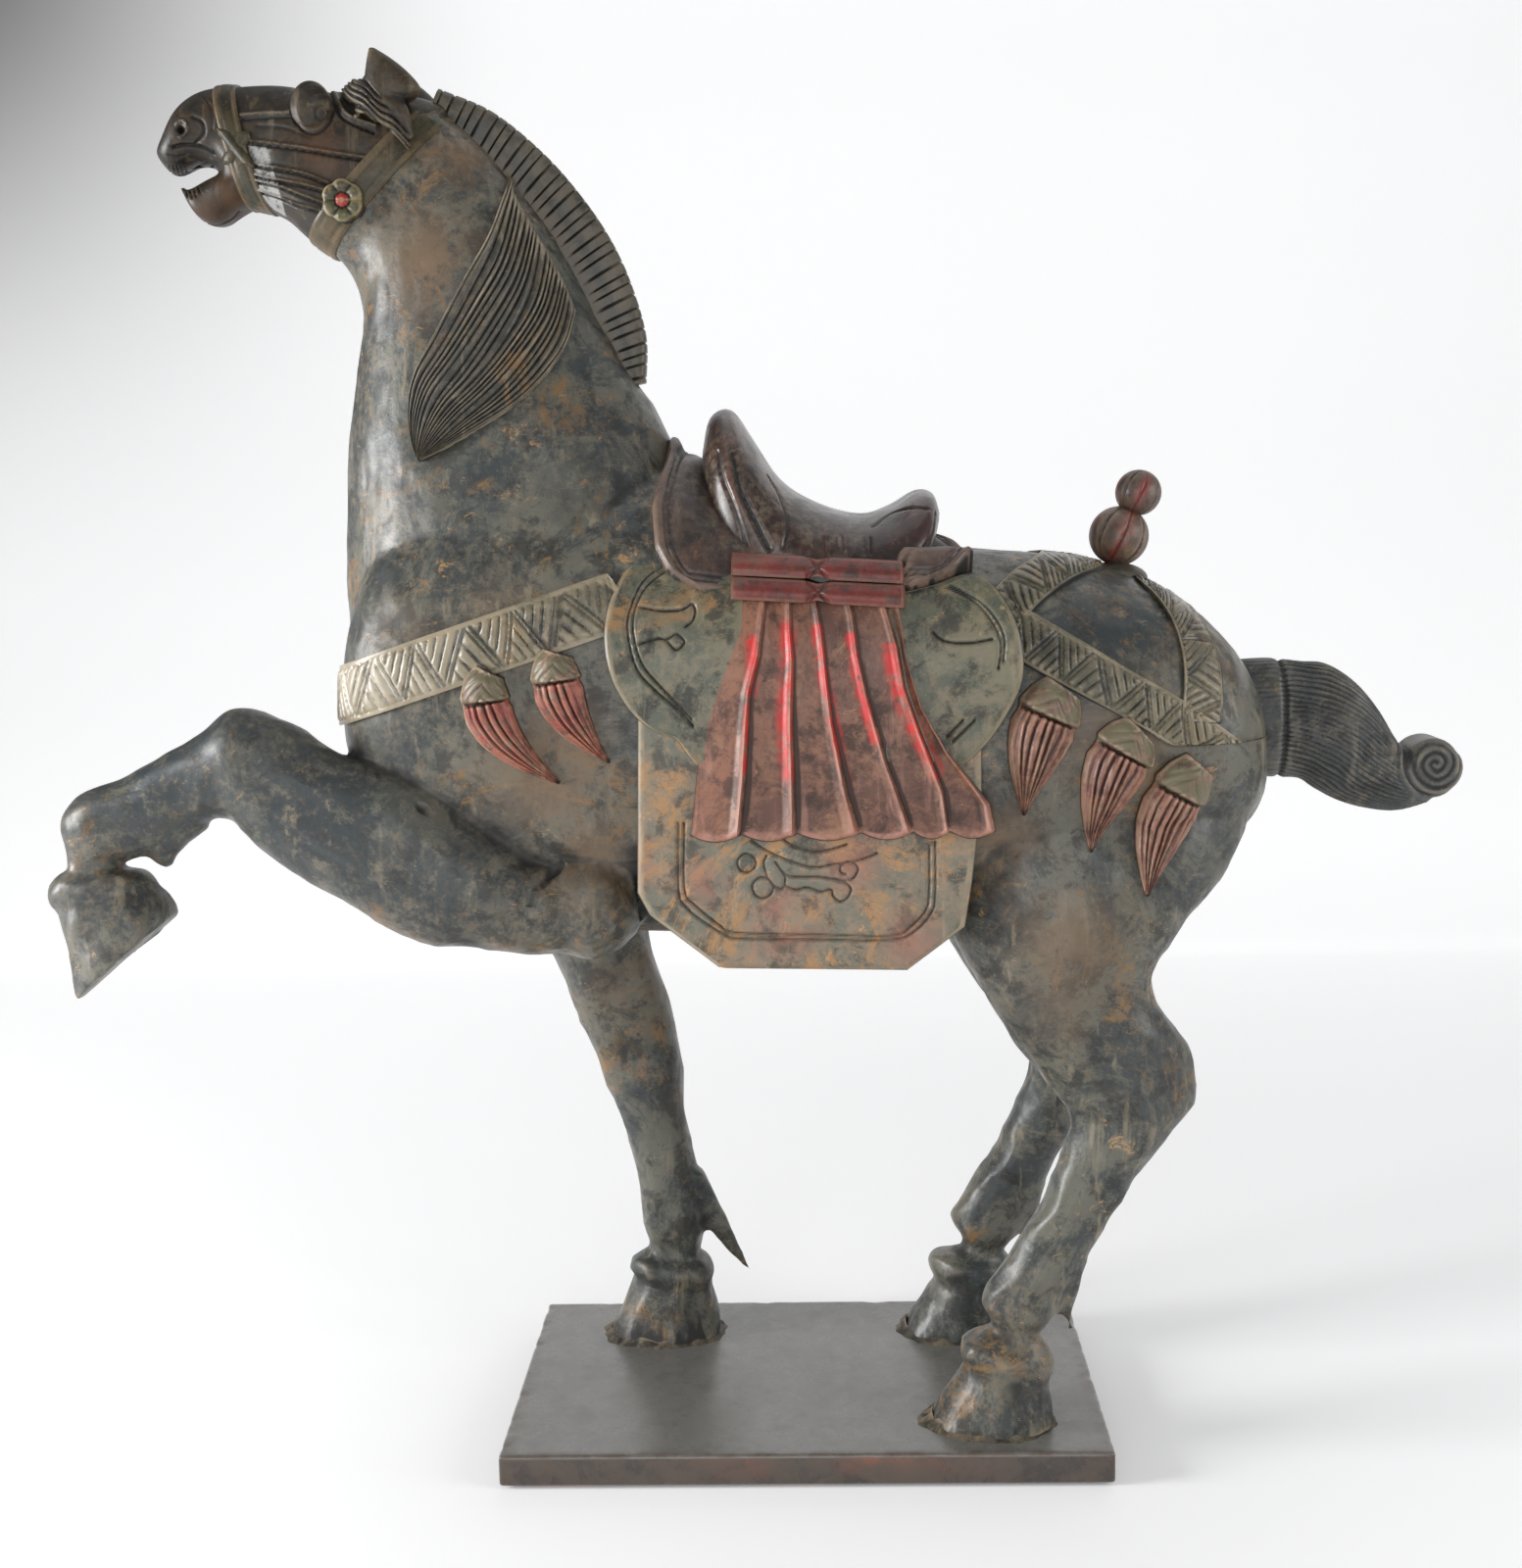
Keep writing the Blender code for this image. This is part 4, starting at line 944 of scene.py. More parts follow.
class Nodes:
    """Builds one material's node tree."""

    def __init__(self, name: str) -> None:
        """Starts a material with its shader."""
        self.material = bpy.data.materials.new(name)
        self.material.use_nodes = True
        self.tree = self.material.node_tree
        self.shader = self.tree.nodes["Principled BSDF"]
        self.coords = self.tree.nodes.new("ShaderNodeTexCoord").outputs["Object"]

    def link(self, value: Value, socket: Socket) -> None:
        """Sets a socket to a value, or links an output to it.

        Args:
            value: A number, a colour or another node's output.
            socket: The socket that takes it.
        """
        if isinstance(value, Socket):
            self.tree.links.new(value, socket)
        else:
            socket.default_value = (*value, 1.0) if isinstance(value, tuple) else value

    def noise(self, scale: float, detail: float = 5, rough: float = 0.6, stretch: Colour = (1, 1, 1),
              twist: float = 0.0) -> Socket:
        """A noise field.

        Args:
            scale: Waves to a metre.
            detail: Finer octaves.
            rough: Strength of the finer octaves.
            stretch: Factors along the axes.
            twist: How far the field is warped by itself.

        Returns:
            Its output.
        """
        mapping = self.tree.nodes.new("ShaderNodeMapping")
        mapping.inputs["Scale"].default_value = stretch
        self.link(self.coords, mapping.inputs["Vector"])
        node = self.tree.nodes.new("ShaderNodeTexNoise")
        self.link(mapping.outputs[0], node.inputs["Vector"])
        for socket, number in (("Scale", scale), ("Detail", detail), ("Roughness", rough),
            ("Distortion", twist)):
            node.inputs[socket].default_value = number
        return node.outputs["Fac"]

    def field(self, name: str) -> Socket:
        """A number stored on the mesh's vertices."""
        node = self.tree.nodes.new("ShaderNodeAttribute")
        node.attribute_name = name
        return node.outputs["Fac"]

    def span(self, value: Value, low: float, high: float, to_low: float = 0.0,
             to_high: float = 1.0) -> Socket:
        """Maps a range of values onto another, clamped and eased at both ends.

        Args:
            value: The number to map.
            low: Start of its range.
            high: End of its range.
            to_low: What low becomes.
            to_high: What high becomes.

        Returns:
            The mapped number.
        """
        node = self.tree.nodes.new("ShaderNodeMapRange")
        node.interpolation_type = "SMOOTHSTEP"
        self.link(value, node.inputs["Value"])
        for socket, number in zip(node.inputs[1:5], (low, high, to_low, to_high)):
            socket.default_value = number
        return node.outputs["Result"]

    def math(self, kind: str, a: Value, b: Value = 0.0) -> Socket:
        """Works on two numbers; all but a difference is kept from 0 to 1.

        Args:
            kind: What to do with them.
            a: The first number.
            b: The second number.

        Returns:
            The result.
        """
        node = self.tree.nodes.new("ShaderNodeMath")
        node.operation = kind
        node.use_clamp = kind != "SUBTRACT"
        self.link(a, node.inputs[0])
        self.link(b, node.inputs[1])
        return node.outputs[0]

    def blend(self, share: Value, a: Value, b: Value) -> Socket:
        """Mixes two colours.

        Args:
            share: 0 for the first colour, 1 for the second.
            a: The first colour.
            b: The second colour.

        Returns:
            The mixture.
        """
        node = self.tree.nodes.new("ShaderNodeMix")
        node.data_type = "RGBA"
        for value, socket in ((share, 0), (a, 6), (b, 7)):
            self.link(value, node.inputs[socket])
        return node.outputs[2]

    def times(self, a: Value, b: Value) -> Socket:
        """The product of two numbers."""
        return self.math("MULTIPLY", a, b)

    def bump(self, *heights: tuple[Socket, float, float]) -> None:
        """Chains bumps.

        Args:
            heights: Height field, strength and distance of each bump.
        """
        normal = None
        for height, strength, distance in heights:
            node = self.tree.nodes.new("ShaderNodeBump")
            node.inputs["Strength"].default_value = strength
            node.inputs["Distance"].default_value = distance
            self.link(height, node.inputs["Height"])
            if normal:
                self.link(normal, node.inputs["Normal"])
            normal = node.outputs[0]
        self.link(normal, self.shader.inputs["Normal"])


@dataclass(frozen=True)
class Lacquer:
    """Old lacquer on wood: tones clouded together, rubbed edges, chips, scratches, and painted shade in hollows.

    The fields "worn", "hollow_shade", "accent" and "blush" on a piece's vertices say where each of these lies;
    on the plank "accent" is a painted reflection, and on the chest strap "blush" is a painted highlight.
    """

    name: str
    tone: Colour
    cloud: Colour
    rub: Colour
    earth: Colour = (0.20, 0.115, 0.048)
    dark: Colour = (0.012, 0.012, 0.011)
    dust: Colour = (0.17, 0.135, 0.092)
    accent: Colour = (0.2, 0.02, 0.015)
    blush: Colour = (0.30, 0.018, 0.014)
    blush_size: float = 22
    even: float = 0.08
    earthy: float = 0.56
    flecked: float = 0.66
    shine: tuple[float, float] = (0.34, 0.66)
    coat: float = 0.12
    mirror: float = 0.42
    brightness: float = 2.0
    grain: Colour = (1.0, 1.0, 0.12)
    relief: float = 0.5

    def dress(self, piece: Piece) -> None:
        """Gives the finish to a piece.

        Args:
            piece: The piece to dress.
        """
        nodes = Nodes(self.name)
        noise, span, times, field = nodes.noise, nodes.span, nodes.times, nodes.field
        mottle = noise(38, 9, 0.72, twist=0.3)
        fine = noise(150, 6, 0.7)
        streak = noise(70, 5, 0.6, self.grain)
        clouds = span(noise(11, 14, 0.84, twist=0.6), 0.455, 0.545)
        dusty = times(span(noise(5.5, 10, 0.75, twist=0.6), 0.45, 0.60), span(fine, 0.40, 0.62))
        wide = span(noise(6.5, 12, 0.8, twist=1.4), self.earthy - 0.03, self.earthy + 0.03)
        broken = span(noise(34, 12, 0.82), 0.44, 0.54)
        flecks = span(noise(46, 12, 0.84, twist=0.8), self.flecked - 0.02, self.flecked, 0.0, 0.9)
        crowded = span(noise(7, 6, 0.7), 0.42, 0.60, 0.15, 1.0)
        off_line = nodes.math("ABSOLUTE",
            nodes.math("SUBTRACT", noise(9, 2, 0.5, (1.0, 1.0, 9.0), 2.4), 0.5))
        scratch = nodes.math("SUBTRACT", 1.0, span(off_line, 0.002, 0.007))
        # Painted shade: marked hollows are laid over with the near-black dark colour, where shade falls; the same
        # field roughens them.
        hollow_shade = span(field("hollow_shade"), 0.10, 0.75, 0.0, 0.92)
        layers = (
            (clouds, self.cloud),
            (times(dusty, 0.7), self.dust),
            (span(mottle, 0.49, 0.60, 0.0, 0.72), self.dark),
            (times(wide, broken), self.earth),
            (times(flecks, crowded), tuple(min(1.0, self.brightness * c) for c in self.earth)),
            (span(streak, 0.58, 0.70, 0.0, 0.45), self.rub),
            (times(scratch, span(fine, 0.48, 0.60, 0.0, 0.5)), self.rub),
            (times(field("blush"), span(noise(self.blush_size, 12, 0.8), 0.40, 0.52, 0.06, 1.0)),
                self.blush),
            (times(field("accent"), span(noise(60, 10, 0.8), 0.42, 0.52, self.even, 1.0)), self.accent),
            (times(span(field("worn"), 0.25, 1.0, 0.0, 0.85), span(mottle, 0.40, 0.60, 0.25, 1.0)),
                self.rub),
            (hollow_shade, self.dark),
        )
        colour = self.tone
        for share, tint in layers:
            colour = nodes.blend(share, colour, tint)
        inputs = nodes.shader.inputs
        nodes.link(colour, inputs["Base Color"])
        nodes.link(span(nodes.math("ADD", mottle, times(hollow_shade, 0.3)), 0.35, 0.75, *self.shine),
            inputs["Roughness"])
        inputs["Specular IOR Level"].default_value = self.mirror
        inputs["Coat Weight"].default_value = self.coat
        inputs["Coat Roughness"].default_value = 0.3
        nodes.bump(
            (mottle, self.relief * 0.6, 0.0012), (fine, self.relief * 0.35, 0.0005),
            (streak, self.relief * 0.3, 0.0006),
        )
        piece.data.materials.clear()
        piece.data.materials.append(nodes.material)


class Finish(Enum):
    """The finishes of this horse."""

    BODY = Lacquer(
        "body_lacquer", (0.108, 0.106, 0.084), (0.036, 0.043, 0.043), (0.30, 0.25, 0.17),
        earth=(0.19, 0.110, 0.045),
        accent=(0.022, 0.030, 0.034), blush=(0.15, 0.098, 0.055), earthy=0.565, flecked=0.61, coat=0.14,
        shine=(0.33, 0.60), relief=0.8,
    )
    HEAD = Lacquer(
        "head_lacquer", (0.027, 0.019, 0.011), (0.011, 0.010, 0.008), (0.13, 0.10, 0.062),
        earth=(0.085, 0.042, 0.017),
        dust=(0.050, 0.038, 0.024), dark=(0.008, 0.007, 0.006), accent=(0.24, 0.24, 0.23),
        blush=(0.075, 0.034, 0.013),
        earthy=0.58, flecked=0.66, shine=(0.38, 0.62), coat=0.06, mirror=0.30,
    )
    MANE = Lacquer(
        "mane_lacquer", (0.040, 0.040, 0.034), (0.020, 0.023, 0.022), (0.13, 0.11, 0.078),
        earth=(0.10, 0.068, 0.036),
        dust=(0.075, 0.065, 0.046), earthy=0.60,
    )
    HAIR = Lacquer(
        "hair_lacquer", (0.082, 0.070, 0.048), (0.038, 0.038, 0.032), (0.30, 0.25, 0.18),
        earth=(0.15, 0.09, 0.04),
        dust=(0.12, 0.095, 0.062), earthy=0.57,
    )
    STRAP = Lacquer(
        "strap_lacquer", (0.165, 0.140, 0.088), (0.085, 0.080, 0.052), (0.28, 0.23, 0.15),
        earth=(0.19, 0.12, 0.05),
        # Painted highlight: this pale blush lightens the chest strap's left end.
        blush=(0.46, 0.41, 0.33),
        earthy=0.56, flecked=0.63, coat=0.25, shine=(0.28, 0.52),
    )
    BRIDLE = Lacquer(
        "bridle_lacquer", (0.038, 0.030, 0.014), (0.021, 0.021, 0.009), (0.12, 0.085, 0.045),
        earth=(0.11, 0.055, 0.018),
        dust=(0.06, 0.05, 0.026), dark=(0.008, 0.007, 0.005), earthy=0.57, coat=0.06, mirror=0.30,
    )
    ROSETTE = Lacquer(
        "rosette_lacquer", (0.095, 0.085, 0.035), (0.050, 0.055, 0.022), (0.26, 0.20, 0.10),
        accent=(0.30, 0.02, 0.015),
        dust=(0.12, 0.10, 0.05),
    )
    SADDLE = Lacquer(
        "saddle_lacquer", (0.044, 0.020, 0.016), (0.019, 0.011, 0.010), (0.15, 0.075, 0.055),
        earth=(0.085, 0.035, 0.022),
        earthy=0.60, flecked=0.72, shine=(0.24, 0.46), coat=0.2, relief=0.25,
    )
    BLANKET = Lacquer(
        "blanket_lacquer", (0.056, 0.034, 0.028), (0.030, 0.021, 0.019), (0.17, 0.11, 0.08),
        earth=(0.10, 0.055, 0.035),
        earthy=0.58, flecked=0.70,
    )
    LOBE = Lacquer(
        "lobe_lacquer", (0.145, 0.130, 0.082), (0.072, 0.080, 0.056), (0.26, 0.21, 0.13),
        earth=(0.23, 0.130, 0.055), earthy=0.545,
        flecked=0.61,
    )
    BOARD = Lacquer(
        "board_lacquer", (0.225, 0.170, 0.115), (0.130, 0.132, 0.100), (0.33, 0.26, 0.17),
        earth=(0.33, 0.185, 0.08),
        dark=(0.040, 0.037, 0.030), blush=(0.30, 0.125, 0.085), earthy=0.545, flecked=0.60, brightness=1.5,
    )
    CLOTH = Lacquer(
        "cloth_lacquer", (0.225, 0.098, 0.060), (0.115, 0.050, 0.034), (0.42, 0.21, 0.16),
        dust=(0.25, 0.130, 0.075), accent=(0.48, 0.016, 0.014),
        earth=(0.26, 0.14, 0.075), dark=(0.035, 0.018, 0.013), earthy=0.58, flecked=0.68,
    )
    BAND = Lacquer(
        "band_lacquer", (0.095, 0.042, 0.028), (0.045, 0.022, 0.016), (0.17, 0.085, 0.058),
        dust=(0.13, 0.075, 0.045), accent=(0.24, 0.012, 0.010),
        earthy=0.62, flecked=0.70,
    )
    TASSEL = Lacquer(
        "tassel_lacquer", (0.240, 0.140, 0.092), (0.115, 0.062, 0.044), (0.42, 0.29, 0.20),
        accent=(0.125, 0.108, 0.062),
        blush=(0.42, 0.020, 0.018), dust=(0.24, 0.17, 0.10), blush_size=75,
        dark=(0.030, 0.016, 0.012), earthy=0.60, flecked=0.68,
    )
    TAIL = Lacquer("tail_lacquer", (0.050, 0.055, 0.052), (0.026, 0.031, 0.032), (0.19, 0.17, 0.13),
        earthy=0.60)
    FINIAL = Lacquer(
        "finial_lacquer", (0.115, 0.080, 0.062), (0.050, 0.036, 0.030), (0.30, 0.21, 0.15),
        accent=(0.17, 0.018, 0.014),
        earthy=0.60, coat=0.2,
    )
    PLANK = Lacquer(
        "plank_lacquer", (0.034, 0.030, 0.027), (0.020, 0.018, 0.016), (0.085, 0.060, 0.045),
        earth=(0.060, 0.040, 0.028),
        # Painted reflection: the accent is a lighter colour laid evenly over the plank's top.
        accent=(0.150, 0.145, 0.132), blush=(0.34, 0.075, 0.030), even=0.80, earthy=0.56, flecked=0.70,
        shine=(0.24, 0.44),
        grain=(0.08, 1.0, 1.0), relief=0.15, coat=0.45, dust=(0.060, 0.054, 0.046), brightness=1.5,
    )
    FILLER = Lacquer(
        "hoof_filler", (0.130, 0.108, 0.072), (0.070, 0.060, 0.045), (0.20, 0.16, 0.11),
        earth=(0.17, 0.12, 0.06), earthy=0.55,
        shine=(0.55, 0.8), coat=0.0,
    )

    def dress(self, piece: Piece) -> None:
        """Gives this finish to a piece."""
        self.value.dress(piece)


def settle_piece(obj: Piece, finish: Finish, slot: Slot = Slot.HORSE, stands_for: str = "",
                 wear: float = 0.0009, keep: float = 1.0) -> Piece:
    """Shades, marks worn edges and painted shade in hollows, dresses and mounts a finished piece.

    Args:
        obj: The piece.
        finish: Its finish.
        slot: The record's material slot; not used.
        stands_for: The model's node that it replaces, if any.
        wear: Edge height in metres that is fully worn; it also sets how deep a hollow gets the full painted shade.
        keep: Share of its triangles that it keeps.

    Returns:
        The piece.
    """
    if keep < 1:
        thin_out(obj, round(keep * triangles_in(obj)))
    obj.data.shade_smooth()
    obj.data.set_sharp_from_angle(angle=SHARP_EDGE)
    mark_wear_and_shade(obj, wear)
    finish.dress(obj)
    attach(obj, BODY)
    if stands_for:
        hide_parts(stands_for)
    log.info("%s: %d triangles", obj.name, triangles_in(obj))
    return obj


@dataclass
class Body:
    """Trunk, neck and legs, without the head."""

    voxel: float = 0.0024
    spread: float = 0.0110
    triangles: int = 150000
    cut_at: Spot = (-296, 0, 896)
    cut_slope: float = math.radians(46)

    def blocks(self, mass: Mass) -> None:
        """Adds the forms that the whole horse is hewn from."""
        mass.loft(TRUNK, 2.35, FINE_RING)
        mass.loft(NECK, 2.15, FINE_RING)
        mass.loft(HEAD, 2.5)
        mass.loft(MUZZLE, 2.3)
        mass.loft(JAW, 2.3)

    def legs(self, mass: Mass) -> None:
        """Adds the four legs with their fetlock rings, hooves and spurs."""
        mass.ball((-149, -76, 392), (42, 46, 44))
        for rows in (RAISED_FORELEG, RAISED_RING, RAISED_HOOF, RAISED_SPUR,
                     STANDING_FORELEG, STANDING_RING, STANDING_HOOF, STANDING_SPUR):
            mass.loft(rows)
        for rows in (HIND_LEG, HIND_RING, HIND_HOOF, HIND_SPUR):
            mass.loft(rows, side=Side.NEAR.value)
            mass.loft(rows, side=Side.FAR.value, shift=FAR_LEG_SHIFT)

    def cut(self, obj: Piece, keep_head: bool) -> None:
        """Cuts the horse under the throat strap.

        Args:
            obj: The whole form.
            keep_head: Which half stays.
        """
        bm = bmesh.new()
        bm.from_mesh(obj.data)
        way = Vector((-math.sin(self.cut_slope), 0, math.cos(self.cut_slope)))
        made = bmesh.ops.bisect_plane(
            bm, geom=bm.verts[:] + bm.edges[:] + bm.faces[:], plane_co=Vector(place(self.cut_at)),
            plane_no=way, clear_outer=not keep_head, clear_inner=keep_head,
        )
        bmesh.ops.holes_fill(bm, edges=[e for e in made["geom_cut"] if isinstance(e, bmesh.types.BMEdge)])
        release(bm, obj.data)

    def build(self) -> Piece:
        """Fuses, cuts and carves the body."""
        mass = Mass()
        self.blocks(mass)
        self.legs(mass)
        obj = mass.fuse("horse_body", self.voxel, self.spread)
        thin_out(obj, self.triangles)
        return obj

    def finish(self, obj: Piece) -> None:
        """Cuts off the head end, carves the folds, levels the soles and dresses the body."""
        self.cut(obj, keep_head=False)
        carve(obj, (
            Cut(((426, 769), (465, 796), (519, 837), (565, 869), (586, 879)), 0.006, 0.003),
            Cut(((573, 883), (548, 908), (534, 937), (530, 958)), 0.006, 0.003),
            Cut(((275, 833), (320, 867), (374, 900), (403, 925), (445, 945)), 0.004, 0.0015),
            Cut(((651, 722), (651, 780), (651, 840), (652, 900), (657, 935)), 0.0045, 0.0040),
            Cut(((431, 824), (432, 825)), 0.0065, 0.0075),
            Cut(((1088, 867), (1104, 869), (1103, 884), (1089, 883), (1088, 867)), 0.0016, 0.0012),
        ), (Side.NEAR,))
        points = points_of(obj.data)
        limbs = ease((place((0, 0, 400))[2] - points[:, 2]) / 0.10)
        facets = (0.0011 + 0.0010 * limbs) * np.abs(ripple(points, 0.075,
            1)) + 0.0006 * np.abs(ripple(points, 0.032, 2))
        points -= normals_of(obj.data) * facets[:, None]
        points[:, 2] = np.where(points[:, 2] < SOLE_LEVEL + 0.0015, SOLE_LEVEL, points[:, 2])
        set_points(obj.data, points)
        blots(obj, "accent", (
            (150, 790, 170, 1.0), (320, 830, 190, 0.95), (450, 900, 120, 0.75), (90, 920, 60, 0.4),
            (470, 500, 110, 0.45),
            (600, 470, 110, 0.55), (560, 330, 90, 0.5), (1130, 640, 90, 0.6), (1240, 860, 90, 0.6),
            (1130, 900, 70, 0.3),
            (1190, 1080, 70, 0.5), (1050, 1040, 60, 0.5), (650, 1150, 70, 0.35), (590, 900, 50, 0.3),
        ))
        blots(obj, "blush", (
            (560, 780, 110, 0.9), (600, 880, 80, 0.8), (440, 270, 90, 0.9), (470, 160, 60, 0.7),
            (1020, 860, 80, 0.8),
            (1090, 960, 90, 0.8), (1150, 760, 120, 0.7), (640, 1040, 80, 0.7), (520, 640, 80, 0.4),
            (1080, 1030, 60, 0.6),
            (1240, 660, 60, 0.5), (410, 640, 60, 0.3), (690, 1190, 40, 0.6),
        ))
        settle_piece(obj, Finish.BODY, stands_for="carved_horse", wear=0.0030)


@dataclass
class Head:
    """The head ahead of the throat strap, with eyes, ears, nostrils, mouth and teeth."""

    voxel: float = 0.0014
    spread: float = 0.0135
    eye: Spot = (-331, 36, 951)
    eye_radii: Spot = (15, 7.6, 18)
    eye_grid: tuple[int, int] = (48, 72)
    ear_voxel: float = 0.0012
    ear_spread: float = 0.0022

    def build(self, body: Body) -> Piece:
        """Fuses the head and cuts it off at the throat strap.

        Args:
            body: The body's sizes, for the cut between them.

        Returns:
            The bare head.
        """
        mass = Mass()
        mass.loft(NECK[:5], 2.15, FINE_RING)
        mass.loft(HEAD, 2.5)
        mass.loft(MUZZLE, 2.3)
        mass.loft(JAW, 2.3)
        obj = mass.fuse("horse_head", self.voxel, self.spread)
        body.cut(obj, keep_head=True)
        return obj

    def finish(self, obj: Piece) -> None:
        """Carves the face and dresses it."""
        turns = np.linspace(0.15, CIRCLE - 0.15, 15)
        socket = [(319 + 21 * math.cos(a), 108 + 28 * math.sin(a)) for a in turns]
        cords = (
            ((252, 143), (280, 146), (315, 151), (350, 157), (384, 162)),
            ((252, 165), (280, 170), (310, 176), (336, 186)),
            ((255, 176), (282, 182), (312, 188), (334, 194)),
            ((254, 182), (280, 187), (303, 196), (330, 206)),
            ((259, 192), (285, 200), (305, 208), (328, 214)),
        )
        welts = cuts(0.0020, -0.0017, *cords)
        grooves = cuts(0.0020, 0.0015, *([(x, y + 3.4) for x, y in line] for line in cords))
        lips = (
            ((180, 182), (190, 177), (206, 169), (216, 167), (214, 178), (204, 186), (193, 189), (184, 190)),
            ((176, 150), (190, 148), (206, 150), (218, 156)),
        )
        upper_teeth = [((x, 169), (x + 2, 179)) for x in (173, 177, 181, 185, 189)]
        lower_teeth = [((x, y), (x + 2, y + 8)) for x, y in ((190, 196), (194, 194), (198, 192), (202, 189))]
        carve(obj, (
            *welts, *grooves, Cut(socket, 0.0028, 0.0020), *cuts(0.0028, 0.0026, *lips),
            Cut(((246, 117), (272, 115), (296, 114), (301, 103)), 0.0024, -0.0019),
            Cut(((246, 122), (272, 120), (298, 119)), 0.0020, 0.0012),
            Cut(((336, 82), (346, 105), (357, 118), (383, 128)), 0.0026, -0.0018),
            Cut(((331, 84), (342, 109), (353, 123), (381, 135)), 0.0024, 0.0022),
            Cut(((202, 224), (220, 230), (236, 224), (244, 216)), 0.0024, 0.0012),
            Cut(((180, 126), (186, 123), (191, 128), (190, 136), (184, 140)), 0.0020, -0.0020),
            Cut(((183.5, 131.6), (184.5, 132.6)), 0.0042, 0.0065),
            Cut(((196, 119), (206, 124), (208, 136), (200, 146)), 0.0026, 0.0016),
            Cut(((208, 100), (216, 112), (216, 132)), 0.0022, 0.0010),
            Cut(((172, 158), (180, 160), (190, 158)), 0.0018, 0.0014),
            *cuts(0.0011, 0.0013, *upper_teeth, *lower_teeth),
            Cut(((300, 84), (308, 96), (322, 98), (334, 88)), 0.0020, 0.0012),
            Cut(((262, 128), (290, 130), (318, 140)), 0.0024, 0.0008),
        ))
        patch(obj, "accent", ((253, 147), (272, 149), (292, 221), (279, 214), (263, 196)))
        blots(obj, "blush", ((390, 160, 40, 0.9), (330, 160, 50, 0.7), (240, 200, 40, 0.8),
            (210, 215, 30, 0.6), (225, 110, 30, 0.4)))
        settle_piece(obj, Finish.HEAD, wear=0.0009, keep=0.8)

    def eyes(self) -> None:
        """A bulging eye with a ringed pupil and lids, on each side."""
        u, v = square(*self.eye_grid)
        angle, polar = u * CIRCLE, v * math.pi / 2
        out = sphere(angle, polar)[..., (0, 2, 1)]
        rim_at = ease((np.hypot(out[..., 0], out[..., 2]) - 0.9) / 0.1)
        pupil = peak(np.hypot(out[..., 0] - 0.60, out[..., 2] + 0.30) - 0.30, 0.07)
        lid = peak(np.hypot(out[..., 0] - 0.25, out[..., 2] + 0.1) - 0.80, 0.07)
        x, y, z = self.eye
        for side in Side:
            ways = out * (1, side.value, 1)
            centre = place((x, side.value * y, z))
            ground = Ground(centre + ways * np.array(self.eye_radii) * SHARE, ways)
            eye = ground.slab(f"eye_{side.label}", 0.0006 * (lid - rim_at) - 0.0010 * pupil, 0.004)
            settle_piece(eye, Finish.HEAD, wear=0.0006)

    def ears(self) -> None:
        """The ears with the tufts that lie beside them."""
        for side in Side:
            mass = Mass()
            for rows in (EAR, EAR_LOBE, FORELOCK):
                mass.loft(rows, 2.0, side=side.value)
            ear = mass.fuse(f"ear_{side.label}", self.ear_voxel, self.ear_spread)
            points = points_of(ear.data)
            across = (points[:, 0] * 0.62 + points[:, 2] * 0.78) / 0.0046
            across = across + 0.25 * np.sin(points[:, 0] * 260)
            groove = wave(across) ** 3 * 0.0019
            shown = SIGHT.pixels(mirrored(points))
            lower = ease(((368 - shown[:, 0]) * 0.79 + (shown[:, 1] - 78) * 0.61) / 6 + 1)
            set_points(ear.data, points - normals_of(ear.data) * (groove * lower)[:, None])
            settle_piece(ear, Finish.HEAD, wear=0.0006, keep=0.7)


